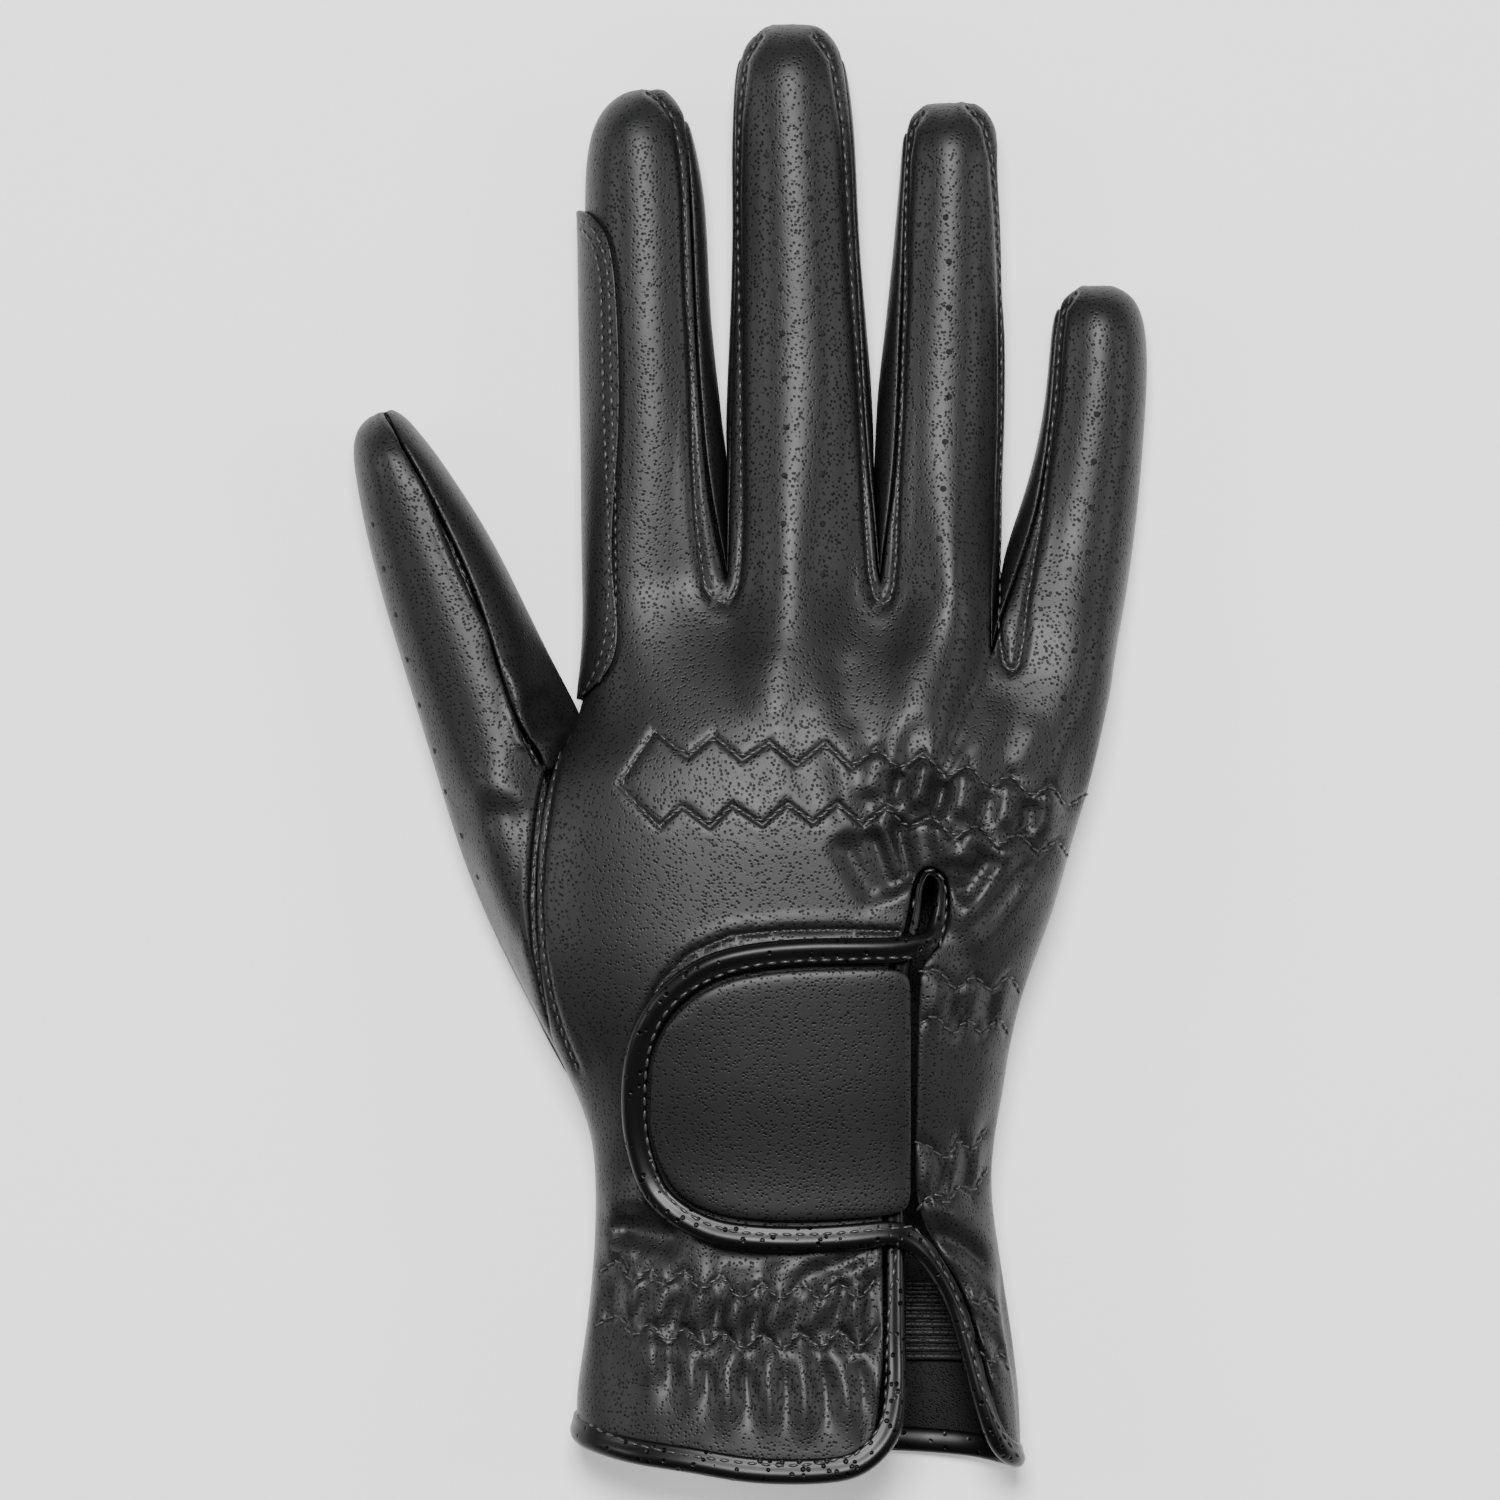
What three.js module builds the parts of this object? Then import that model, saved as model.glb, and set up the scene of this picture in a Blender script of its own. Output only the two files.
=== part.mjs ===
// A right-hand riding glove of thin grained leather, lying palm down with its back up.
// The fingers point along +Y, the thumb lies on the -X side, and +Z is away from the surface it lies on.
// Every leather piece is a sheet of even thickness that follows one hand form, cut along its real seams.
// Lengths are millimetres. The tables hold shares of the named sizes below.

import * as THREE from 'three';

// Driving dimensions
const palmLength = 131.7;
const palmWidth = 80.4;
const palmDepth = 27.5;
const leather = 1.2;
const bindingWidth = 4.2;
const bindingHeight = 2.6;
const tabThickness = 1.3;
const patchThickness = 0.8;
const elasticThickness = 1;
const patchLift = patchThickness + 0.45;
const seamGap = 0.4;
const liftGap = 0.4;
const tabLift = 1.5;
const sewnRise = 1.9;

// Each finger: where its axis starts on the palm, its size, and how far it leans for each mm of length.
const fingers = [
  { name: 'index', rootX: -0.366, rootY: 1.011, length: 75.3, width: 20.25, depth: 17, lean: -0.008 },
  { name: 'middle', rootX: -0.088, rootY: 1.011, length: 85.2, width: 21, depth: 17.5, lean: -0.0229 },
  { name: 'ring', rootX: 0.17, rootY: 1.009, length: 73.65, width: 18, depth: 16.5, lean: 0.0285 },
  { name: 'little', rootX: 0.396, rootY: 0.929, length: 56.7, width: 15.6, depth: 15, lean: 0.0926 },
];

const thumb = { tipX: -0.875, tipY: 1.215, length: 66, width: 20.4, depth: 18.5, lean: -0.2962 };

// The hand without its thumb, hem to finger roots: side edges as shares of palm width, height of depth.
const handOutline = [
  { up: 0.0, left: -0.515, right: 0.328, top: 0.97 },
  { up: 0.055, left: -0.519, right: 0.319, top: 0.95 },
  { up: 0.1, left: -0.513, right: 0.313, top: 0.93 },
  { up: 0.151, left: -0.498, right: 0.299, top: 0.89 },
  { up: 0.203, left: -0.487, right: 0.287, top: 0.87 },
  { up: 0.271, left: -0.478, right: 0.276, top: 0.84 },
  { up: 0.317, left: -0.476, right: 0.261, top: 0.84 },
  { up: 0.374, left: -0.478, right: 0.263, top: 0.87 },
  { up: 0.431, left: -0.509, right: 0.285, top: 0.92 },
  { up: 0.487, left: -0.554, right: 0.297, top: 0.95 },
  { up: 0.544, left: -0.603, right: 0.317, top: 0.98 },
  { up: 0.601, left: -0.625, right: 0.354, top: 1.0 },
  { up: 0.658, left: -0.629, right: 0.386, top: 1.0 },
  { up: 0.715, left: -0.621, right: 0.412, top: 1.0 },
  { up: 0.772, left: -0.601, right: 0.437, top: 0.98 },
  { up: 0.818, left: -0.563, right: 0.457, top: 0.96 },
  { up: 0.863, left: -0.503, right: 0.478, top: 0.93 },
  { up: 0.909, left: -0.495, right: 0.493, top: 0.89 },
  { up: 0.954, left: -0.49, right: 0.506, top: 0.84 },
  { up: 1.0, left: -0.486, right: 0.519, top: 0.79 },
  { up: 1.14, left: -0.49, right: 0.545, top: 0.66 },
];

// Finger sections from root to tip. left and right are shares of the finger's width from its axis,
// seamLeft and seamRight are where the back piece ends, as shares of the half width (1 is the outline).
const fingerSections = {
  index: [
    { along: 0, left: -0.49, right: 0.526, seamLeft: -1, seamRight: 0.84 },
    { along: 0.06, left: -0.495, right: 0.508, seamLeft: -1, seamRight: 0.83 },
    { along: 0.139, left: -0.495, right: 0.51, seamLeft: -1, seamRight: 0.76 },
    { along: 0.259, left: -0.497, right: 0.52, seamLeft: -1, seamRight: 0.71 },
    { along: 0.378, left: -0.5, right: 0.485, seamLeft: -1, seamRight: 0.76 },
    { along: 0.498, left: -0.504, right: 0.444, seamLeft: -1, seamRight: 0.79 },
    { along: 0.618, left: -0.508, right: 0.433, seamLeft: -1, seamRight: 0.78 },
    { along: 0.737, left: -0.502, right: 0.422, seamLeft: -1, seamRight: 0.77 },
    { along: 0.817, left: -0.5, right: 0.387, seamLeft: -1, seamRight: 0.82 },
    { along: 0.876, left: -0.478, right: 0.344, seamLeft: -1, seamRight: 0.87 },
    { along: 0.926, left: -0.432, right: 0.294, seamLeft: -1, seamRight: 0.92 },
    { along: 0.966, left: -0.334, right: 0.221, seamLeft: -1, seamRight: 0.95 },
    { along: 0.986, left: -0.237, right: 0.155, seamLeft: -1, seamRight: 0.98 },
    { along: 1, left: -0.1, right: 0.08, seamLeft: -1, seamRight: 1 },
  ],
  middle: [
    { along: 0, left: -0.529, right: 0.521, seamLeft: -0.88, seamRight: 0.88 },
    { along: 0.053, left: -0.514, right: 0.5, seamLeft: -0.9, seamRight: 0.9 },
    { along: 0.123, left: -0.51, right: 0.5, seamLeft: -0.94, seamRight: 0.93 },
    { along: 0.229, left: -0.506, right: 0.505, seamLeft: -0.97, seamRight: 0.93 },
    { along: 0.335, left: -0.505, right: 0.511, seamLeft: -0.97, seamRight: 0.93 },
    { along: 0.44, left: -0.488, right: 0.505, seamLeft: -0.98, seamRight: 0.94 },
    { along: 0.546, left: -0.464, right: 0.479, seamLeft: -0.98, seamRight: 0.95 },
    { along: 0.651, left: -0.447, right: 0.46, seamLeft: -0.98, seamRight: 0.96 },
    { along: 0.792, left: -0.448, right: 0.452, seamLeft: -0.97, seamRight: 0.96 },
    { along: 0.863, left: -0.434, right: 0.43, seamLeft: -0.97, seamRight: 0.96 },
    { along: 0.907, left: -0.416, right: 0.406, seamLeft: -0.97, seamRight: 0.96 },
    { along: 0.942, left: -0.37, right: 0.373, seamLeft: -0.96, seamRight: 0.96 },
    { along: 0.968, left: -0.303, right: 0.326, seamLeft: -0.97, seamRight: 0.97 },
    { along: 0.986, left: -0.216, right: 0.249, seamLeft: -0.98, seamRight: 0.98 },
    { along: 1, left: -0.1, right: 0.1, seamLeft: -1, seamRight: 1 },
  ],
  ring: [
    { along: 0, left: -0.508, right: 0.492, seamLeft: -0.88, seamRight: 0.88 },
    { along: 0.065, left: -0.528, right: 0.475, seamLeft: -0.84, seamRight: 0.91 },
    { along: 0.147, left: -0.543, right: 0.476, seamLeft: -0.79, seamRight: 0.97 },
    { along: 0.269, left: -0.572, right: 0.49, seamLeft: -0.71, seamRight: 0.97 },
    { along: 0.391, left: -0.57, right: 0.505, seamLeft: -0.72, seamRight: 0.97 },
    { along: 0.513, left: -0.543, right: 0.482, seamLeft: -0.77, seamRight: 0.98 },
    { along: 0.635, left: -0.507, right: 0.46, seamLeft: -0.82, seamRight: 0.98 },
    { along: 0.758, left: -0.472, right: 0.436, seamLeft: -0.91, seamRight: 0.98 },
    { along: 0.839, left: -0.448, right: 0.41, seamLeft: -0.94, seamRight: 0.96 },
    { along: 0.9, left: -0.438, right: 0.395, seamLeft: -0.96, seamRight: 0.96 },
    { along: 0.941, left: -0.418, right: 0.365, seamLeft: -0.96, seamRight: 0.96 },
    { along: 0.971, left: -0.363, right: 0.295, seamLeft: -0.97, seamRight: 0.97 },
    { along: 0.99, left: -0.274, right: 0.21, seamLeft: -0.98, seamRight: 0.98 },
    { along: 1, left: -0.14, right: 0.1, seamLeft: -1, seamRight: 1 },
  ],
  little: [
    { along: 0, left: -0.558, right: 0.529, seamLeft: -0.82, seamRight: 1 },
    { along: 0.058, left: -0.575, right: 0.548, seamLeft: -0.8, seamRight: 1 },
    { along: 0.164, left: -0.618, right: 0.579, seamLeft: -0.72, seamRight: 1 },
    { along: 0.27, left: -0.61, right: 0.592, seamLeft: -0.73, seamRight: 1 },
    { along: 0.376, left: -0.54, right: 0.604, seamLeft: -0.75, seamRight: 1 },
    { along: 0.481, left: -0.479, right: 0.607, seamLeft: -0.81, seamRight: 1 },
    { along: 0.587, left: -0.428, right: 0.6, seamLeft: -0.85, seamRight: 1 },
    { along: 0.693, left: -0.397, right: 0.594, seamLeft: -0.92, seamRight: 1 },
    { along: 0.799, left: -0.394, right: 0.568, seamLeft: -0.94, seamRight: 1 },
    { along: 0.878, left: -0.401, right: 0.522, seamLeft: -0.94, seamRight: 1 },
    { along: 0.931, left: -0.371, right: 0.456, seamLeft: -0.95, seamRight: 1 },
    { along: 0.966, left: -0.306, right: 0.367, seamLeft: -0.97, seamRight: 1 },
    { along: 0.987, left: -0.197, right: 0.245, seamLeft: -0.98, seamRight: 1 },
    { along: 1, left: -0.08, right: 0.1, seamLeft: -1, seamRight: 1 },
  ],
};

// Thumb sections from below its joint to its tip, as the fingers'.
const thumbSections = [
  { along: -0.63, left: -0.037, right: 0.6 },
  { along: -0.477, left: -0.147, right: 0.66 },
  { along: -0.3, left: -0.265, right: 0.7 },
  { along: 0, left: -0.382, right: 0.735 },
  { along: 0.198, left: -0.382, right: 0.721 },
  { along: 0.341, left: -0.386, right: 0.654 },
  { along: 0.5, left: -0.397, right: 0.588 },
  { along: 0.636, left: -0.397, right: 0.522 },
  { along: 0.773, left: -0.368, right: 0.397 },
  { along: 0.855, left: -0.338, right: 0.316 },
  { along: 0.909, left: -0.316, right: 0.243 },
  { along: 0.964, left: -0.257, right: 0.169 },
  { along: 0.99, left: -0.176, right: 0.1 },
  { along: 1, left: -0.07, right: 0.05 },
];

// Where the thumb joins the hand, from the fork down to the wrist, as shares of palm length and width.
const thumbJoint = [
  { up: 0.861, back: -0.507, palm: -0.507 },
  { up: 0.827, back: -0.541, palm: -0.485 },
  { up: 0.801, back: -0.562, palm: -0.47 },
  { up: 0.715, back: -0.586, palm: -0.457 },
  { up: 0.658, back: -0.59, palm: -0.466 },
  { up: 0.601, back: -0.586, palm: -0.485 },
  { up: 0.544, back: -0.569, palm: -0.5 },
  { up: 0.505, back: -0.547, palm: -0.512 },
  { up: 0.43, back: -0.507, palm: -0.507 },
];

// The leather's two edges along the wrist slit, from its round top to the hem, and the share of the
// binding's width that shows on each.
const slitEdges = [
  { up: 0.698, left: 0.144, right: 0.144, leftBound: 0.3, rightBound: 0.3 },
  { up: 0.689, left: 0.124, right: 0.172, leftBound: 0.3, rightBound: 0.35 },
  { up: 0.672, left: 0.113, right: 0.182, leftBound: 0.3, rightBound: 0.4 },
  { up: 0.65, left: 0.11, right: 0.182, leftBound: 0.35, rightBound: 0.5 },
  { up: 0.63, left: 0.104, right: 0.18, leftBound: 0.4, rightBound: 0.65 },
  { up: 0.603, left: 0.085, right: 0.165, leftBound: 0.55, rightBound: 0.8 },
  { up: 0.584, left: 0.068, right: 0.122, leftBound: 0.7, rightBound: 0.9 },
  { up: 0.43, left: 0.06, right: 0.115, leftBound: 0.75, rightBound: 0.9 },
  { up: 0.303, left: 0.06, right: 0.113, leftBound: 0.75, rightBound: 0.9 },
  { up: 0.277, left: 0.06, right: 0.143, leftBound: 0.75, rightBound: 0.85 },
  { up: 0.246, left: 0.06, right: 0.18, leftBound: 0.75, rightBound: 0.75 },
  { up: 0.214, left: 0.06, right: 0.212, leftBound: 0.75, rightBound: 0.75 },
  { up: 0.169, left: 0.06, right: 0.236, leftBound: 0.75, rightBound: 0.75 },
  { up: 0.117, left: 0.06, right: 0.258, leftBound: 0.8, rightBound: 0.75 },
  { up: 0.072, left: 0.05, right: 0.28, leftBound: 0.9, rightBound: 0.8 },
  { up: 0.04, left: 0.03, right: 0.3, leftBound: 1, rightBound: 0.9 },
];

// The tab's leather from its rounded end to the seam where it is sewn to the wrist.
const tabOutline = [
  { across: -0.364, top: 0.462, bottom: 0.406 },
  { across: -0.351, top: 0.499, bottom: 0.368 },
  { across: -0.33, top: 0.525, bottom: 0.334 },
  { across: -0.299, top: 0.544, bottom: 0.316 },
  { across: -0.252, top: 0.564, bottom: 0.302 },
  { across: -0.187, top: 0.575, bottom: 0.295 },
  { across: -0.093, top: 0.581, bottom: 0.293 },
  { across: 0.019, top: 0.582, bottom: 0.297 },
  { across: 0.108, top: 0.583, bottom: 0.301 },
];

// The patch round the index finger: heights on the hand, and how many columns it reaches over the back
// and round to the palm.
const patchRows = [
  { up: 1.443, over: 1.3, under: 0.4 },
  { up: 1.436, over: 2.6, under: 0.7 },
  { up: 1.419, over: 3.5, under: 0.9 },
  { up: 1.393, over: 3.9, under: 1 },
  { up: 1.34, over: 4.1, under: 1 },
  { up: 1.26, over: 4.15, under: 1 },
  { up: 1.18, over: 4.2, under: 1 },
  { up: 1.1, over: 4.15, under: 1 },
  { up: 1.04, over: 4.1, under: 1 },
  { up: 0.99, over: 4.4, under: 1 },
  { up: 0.955, over: 4.6, under: 0.8 },
  { up: 0.926, over: 4.4, under: 0.6 },
  { up: 0.908, over: 3.9, under: 0.4 },
  { up: 0.893, over: 3, under: 0.3 },
  { up: 0.884, over: 2, under: 0.2 },
];

// The binding's section: out from the leather's edge and up, as shares of its half width and half height.
const bindingSection = [
  { out: 1, up: -0.1 },
  { out: 0.75, up: 0.72 },
  { out: 0.15, up: 1 },
  { out: -0.42, up: 0.55 },
  { out: -0.95, up: 0.62 },
  { out: -1, up: -0.5 },
  { out: 0, up: -0.95 },
  { out: 0.75, up: -0.8 },
];

// The elastic band sewn inside the wrist, seen through the slit.
const elasticBand = { from: 0.128, to: 0.22, firstColumn: 1.2, lastColumn: 14.8 };

// Heights of the hem and of the finger roots across the back and the palm, thumb side to little finger.
const backHem = [
  { across: 0, up: 0.083 },
  { across: 0.125, up: 0.064 },
  { across: 0.25, up: 0.045 },
  { across: 0.5, up: 0.031 },
  { across: 0.66, up: 0.034 },
  { across: 0.72, up: 0.045 },
  { across: 0.75, up: 0.062 },
  { across: 0.76, up: 0.052 },
  { across: 0.82, up: 0.044 },
  { across: 1, up: 0.04 },
];
const palmHem = [
  { across: 0, up: 0.083 },
  { across: 0.25, up: 0.066 },
  { across: 0.5, up: 0.059 },
  { across: 0.75, up: 0.057 },
  { across: 1, up: 0.04 },
];
const backRoots = [
  { across: 0, up: 0.964 },
  { across: 0.125, up: 0.994 },
  { across: 0.25, up: 1.011 },
  { across: 0.375, up: 1.003 },
  { across: 0.5, up: 1.009 },
  { across: 0.625, up: 0.983 },
  { across: 0.75, up: 0.929 },
  { across: 0.875, up: 0.909 },
  { across: 1, up: 0.886 },
];
const palmRoots = [
  { across: 0, up: 0.964 },
  { across: 0.25, up: 1.137 },
  { across: 0.5, up: 1.137 },
  { across: 0.75, up: 1.02 },
  { across: 1, up: 0.886 },
];

// Where the column lines below each fork meet the finger roots and the hem.
const backForks = { roots: [-0.229, 0.056, 0.295], hem: [-0.3, -0.112, 0.034] };
const palmForks = { roots: [-0.229, 0.045, 0.285], hem: [-0.3, -0.1, 0.1] };

// Gathers over the elastic bands: where along the hand, how far they reach, how deep they are in mm,
// the stretch of columns they cross, and how much they slant.
const gathers = [
  { band: 'cuff', up: 0.17, reach: 0.085, depth: 1.1, from: 0.04, to: 0.76, slant: 7 },
  { band: 'cuffSide', up: 0.17, reach: 0.1, depth: 0.9, from: 0.76, to: 1.1, slant: -5 },
  { band: 'wristSideLow', up: 0.375, reach: 0.05, depth: 0.8, from: 0.78, to: 1.1, slant: 0 },
  { band: 'wristSideHigh', up: 0.55, reach: 0.05, depth: 0.7, from: 0.78, to: 1.1, slant: 0 },
  { band: 'knuckles', up: 0.8, reach: 0.085, depth: 1, from: 0.34, to: 1.1, slant: 6 },
];
const columnsPerGather = 3;

// Shape of the sections: how square they are, and how high their widest line lies.
const handTopPower = 2.5;
const handBasePower = 3.6;
const fingerTopPower = 2.1;
const fingerBasePower = 2.7;
const widestShare = 0.42;
const sideSeamAngle = THREE.MathUtils.degToRad(12);
const palmSeamAngle = THREE.MathUtils.degToRad(32);
const forkDip = 4.5;
const forkDipReach = 0.24;
const palmForkLift = 2.2;
const rootBlend = 0.4;
const tipOpening = 0.06;

// How finely the sheets are divided
const bindingStep = 3.4;
const columnsPerFinger = 8;
const palmColumnsPerFinger = 4;
const handRows = [
  0, 0.07, 0.12, 0.16, 0.2, 0.24, 0.29, 0.35, 0.41, 0.46, 0.51, 0.57, 0.605, 0.635, 0.67, 0.703,
  0.7232, 0.7336, 0.76, 0.79, 0.82, 0.855, 0.9, 0.95, 1,
];
const slitTopRow = 17;
const palmRows = [0, 0.14, 0.28, 0.36, 0.42, 0.47, 0.52, 0.6, 0.7, 0.8, 0.88, 0.95, 1];
const fingerRows = [0, 0.05, 0.12, 0.23, 0.36, 0.5, 0.64, 0.76, 0.84, 0.9, 0.94, 0.968, 0.987, 1];
const gussetLastRow = 10;

// Reading the tables

const mix = (a, b, t) => a + (b - a) * t;
const clamp01 = (t) => Math.min(1, Math.max(0, t));
const smooth = (t) => clamp01(t) ** 2 * (3 - 2 * clamp01(t));

/** The slope at a row from the slopes on its two sides: none at a peak, so no value is overshot. */
const between = (a, b) => (a * b > 0 ? (2 * a * b) / (a + b) : 0);

/** Smooth value of one column of a table at a place along its key column. */
function read(table, key, column, at) {
  const rising = table[0][key] < table[table.length - 1][key];
  const rows = rising ? table : [...table].reverse();
  const last = rows.length - 1;
  if (at <= rows[0][key]) return rows[0][column];
  if (at >= rows[last][key]) return rows[last][column];
  let i = 0;
  while (rows[i + 1][key] < at) i += 1;
  const slope = (a, b) => (rows[b][column] - rows[a][column]) / (rows[b][key] - rows[a][key]);
  const span = rows[i + 1][key] - rows[i][key];
  const t = (at - rows[i][key]) / span;
  const here = slope(i, i + 1);
  const before = i > 0 ? between(slope(i - 1, i), here) : here;
  const after = i + 1 < last ? between(slope(i + 1, i + 2), here) : here;
  const start = before * span;
  const end = after * span;
  const rise = rows[i + 1][column] - rows[i][column];
  return rows[i][column] + t * (start + t * (3 * rise - 2 * start - end + t * (start + end - 2 * rise)));
}

const power = (value, exponent) => Math.sign(value) * Math.abs(value) ** exponent;

/** A point and outward normal on a rounded section, at an angle from its +X side over its top. */
function onSection(section, angle, topPower, basePower) {
  const above = Math.sin(angle) >= 0;
  const squareness = above ? topPower : basePower;
  const height = above ? section.top - section.widest : section.widest - section.base;
  const half = (section.right - section.left) / 2;
  const c = Math.cos(angle);
  const s = Math.sin(angle);
  const point = new THREE.Vector3(
    (section.left + section.right) / 2 + half * power(c, 2 / squareness),
    section.y,
    section.widest + height * power(s, 2 / squareness),
  );
  const turn = 2 - 2 / squareness;
  const normal = new THREE.Vector3(power(c, turn) / half, 0, power(s, turn) / Math.max(height, 0.5)).normalize();
  return { point, normal };
}

/** The angle on a section's top where it has a given share of its half width. */
const angleOf = (share, squareness) => Math.acos(power(THREE.MathUtils.clamp(share, -1, 1), squareness / 2));

// The hand form

function handSection(y) {
  const up = y / palmLength;
  const depth = palmDepth;
  return {
    left: read(handOutline, 'up', 'left', up) * palmWidth,
    right: read(handOutline, 'up', 'right', up) * palmWidth,
    top: read(handOutline, 'up', 'top', up) * depth,
    widest: widestShare * depth * mix(1, read(handOutline, 'up', 'top', up), 0.5),
    base: 0,
    y,
  };
}

const onHand = (y, angle) => onSection(handSection(y), angle, handTopPower, handBasePower);

/** The angle of a point of the hand's back, or of its palm, at a place across it. */
function handAngle(y, x, palm = false) {
  const section = handSection(y);
  const share = (x - (section.left + section.right) / 2) / ((section.right - section.left) / 2);
  return palm ? -angleOf(share, handBasePower) : angleOf(share, handTopPower);
}

// The finger and thumb forms

const capShare = (digit) => (0.5 * digit.width) / digit.length;
const capTurn = (digit, along) => clamp01((along - 1 + capShare(digit)) / capShare(digit));

/** A point and normal on a digit, at a share of its length and an angle from its +X side over its top. */
function onDigit(digit, table, along, angle) {
  const turn = capTurn(digit, along);
  const cap = Math.max(Math.sqrt(1 - turn * turn), tipOpening);
  const widest = widestShare * digit.depth;
  const taper = mix(1.06, 0.94, clamp01(along));
  const section = {
    left: read(table, 'along', 'left', along) * digit.width,
    right: read(table, 'along', 'right', along) * digit.width,
    top: widest + (digit.depth * taper - widest) * cap,
    widest,
    base: widest * (1 - cap),
    y: 0,
  };
  const { point, normal } = onSection(section, angle, fingerTopPower, fingerBasePower);
  normal.multiplyScalar(cap).add(new THREE.Vector3(0, turn, 0)).normalize();
  return { point, normal };
}

function onFinger(finger, along, angle) {
  const { point, normal } = onDigit(finger, fingerSections[finger.name], along, angle);
  const run = along * finger.length;
  point.x += finger.rootX * palmWidth + finger.lean * run;
  point.y = finger.rootY * palmLength + run;
  return { point, normal };
}

const thumbTurn = Math.atan(-thumb.lean);

function onThumb(along, angle) {
  const { point, normal } = onDigit(thumb, thumbSections, along, angle);
  const axis = new THREE.Vector3(0, 0, 1);
  point.y = (along - 1) * thumb.length;
  point.applyAxisAngle(axis, thumbTurn);
  point.x += thumb.tipX * palmWidth;
  point.y += thumb.tipY * palmLength;
  normal.applyAxisAngle(axis, thumbTurn);
  return { point, normal };
}

/** Fades from 1 at the finger tip's fourchette end to 0, where the back and palm pieces meet. */
const fourchetteShare = (along) => 1 - smooth((along - 0.9) / 0.06);

/** The angles on a finger where the back piece ends on its left and right side. */
function backEdges(finger, along) {
  const table = fingerSections[finger.name];
  const share = fourchetteShare(along);
  const leftFold = finger.name === 'index';
  const rightFold = finger.name === 'little';
  const seam = (column) => angleOf(Math.abs(read(table, 'along', column, along)), fingerTopPower) * share;
  return {
    left: Math.PI + (leftFold ? sideSeamAngle * share : -seam('seamLeft')),
    right: rightFold ? -sideSeamAngle * share : seam('seamRight'),
  };
}

/** The angles on a finger where the palm piece ends, counted on below the left side. */
function palmEdges(finger, along) {
  const share = fourchetteShare(along);
  const leftFold = finger.name === 'index';
  const rightFold = finger.name === 'little';
  return {
    left: Math.PI + (leftFold ? sideSeamAngle : palmSeamAngle) * share,
    right: 2 * Math.PI - (rightFold ? sideSeamAngle : palmSeamAngle) * share,
  };
}

// The back piece, read at any row and column

const lastColumn = columnsPerFinger * fingers.length;
const slitColumn = columnsPerFinger * 3;

/** Depth of the gathers at a row and column of the back. */
function gatherDepth(up, across) {
  let depth = 0;
  for (const band of gathers) {
    const fade = 1 - smooth(Math.abs(up - band.up) / band.reach);
    const inside = smooth((across - band.from) / 0.12) * smooth((band.to - across) / 0.02);
    const column = across * lastColumn + band.slant * (up - band.up);
    depth += band.depth * fade * inside * Math.cos((2 * Math.PI * column) / columnsPerGather);
  }
  return depth;
}

/** How far the back dips towards the forks between the fingers. */
function forkDepth(share, column) {
  const reach = smooth((share - 1 + forkDipReach) / forkDipReach);
  const nearest = Math.round(column / columnsPerFinger) * columnsPerFinger;
  const inner = nearest > 0 && nearest < lastColumn ? 1 : 0;
  const off = Math.abs(column - nearest) / columnsPerFinger;
  return forkDip * inner * reach * reach * Math.exp(-((off / 0.28) ** 2));
}

/** How far the wrist's edge is raised beside the tab. */
const tabRise = (up) => sewnRise * smooth((up - 0.26) / 0.05) * smooth((0.61 - up) / 0.03);

/** A point and normal of the hand's back. side picks the slit's left or right edge where it is open. */
function onBack(share, column, side = 'left') {
  const across = column / lastColumn;
  const hemAcross = side === 'left' ? Math.min(across, 0.75) : across;
  const y = palmLength * mix(read(backHem, 'across', 'up', hemAcross), read(backRoots, 'across', 'up', across), share);
  const up = y / palmLength;
  const forkX = (i) => {
    if (i === 2 && up <= slitEdges[0].up) return palmWidth * read(slitEdges, 'up', side, up);
    const start = i === 2 ? slitEdges[0].up : backHem[4].up;
    const low = i === 2 ? slitEdges[0].left : backForks.hem[i];
    return palmWidth * mix(low, backForks.roots[i], clamp01((up - start) / (1 - start)));
  };
  const jointBack = up > 0.43 && up < 0.861 ? handAngle(y, palmWidth * read(thumbJoint, 'up', 'back', up)) : Math.PI;
  const jointShare = smooth((up - 0.43) / 0.12) * smooth((0.861 - up) / 0.03);
  const edge = mix(Math.PI + sideSeamAngle, jointBack, jointShare);
  const angles = [edge, ...[0, 1, 2].map((i) => handAngle(y, forkX(i))), -sideSeamAngle];
  const strip = Math.min(3, Math.floor(column / columnsPerFinger) - (side === 'left' && column === slitColumn ? 1 : 0));
  const within = column / columnsPerFinger - strip;
  const { point, normal } = onHand(y, mix(angles[strip], angles[strip + 1], within));
  const raised = side === 'right' ? tabRise(up) * smooth(1 - (column - slitColumn) / 3) : 0;
  point.addScaledVector(normal, gatherDepth(up, across) + raised);
  point.z -= forkDepth(share, column);
  return { point, normal };
}

/** How far along a finger one of its rows lies, when its first row starts off the finger's own root. */
const alongOf = (row, start) => fingerRows[row] + start * (1 - fingerRows[row]) ** 2;

/** A point and normal of the back of a finger, joined to the hand's back at its root. */
function onFingerBack(index, row, column) {
  const finger = fingers[index];
  const root = onBack(1, index * columnsPerFinger + column, index === 3 ? 'right' : 'left');
  const start = (root.point.y - finger.rootY * palmLength) / finger.length;
  return fingerPoint(finger, alongOf(row, start), start, root, (along) => {
    const edges = backEdges(finger, along);
    return mix(edges.left, edges.right, column / columnsPerFinger);
  });
}

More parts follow.
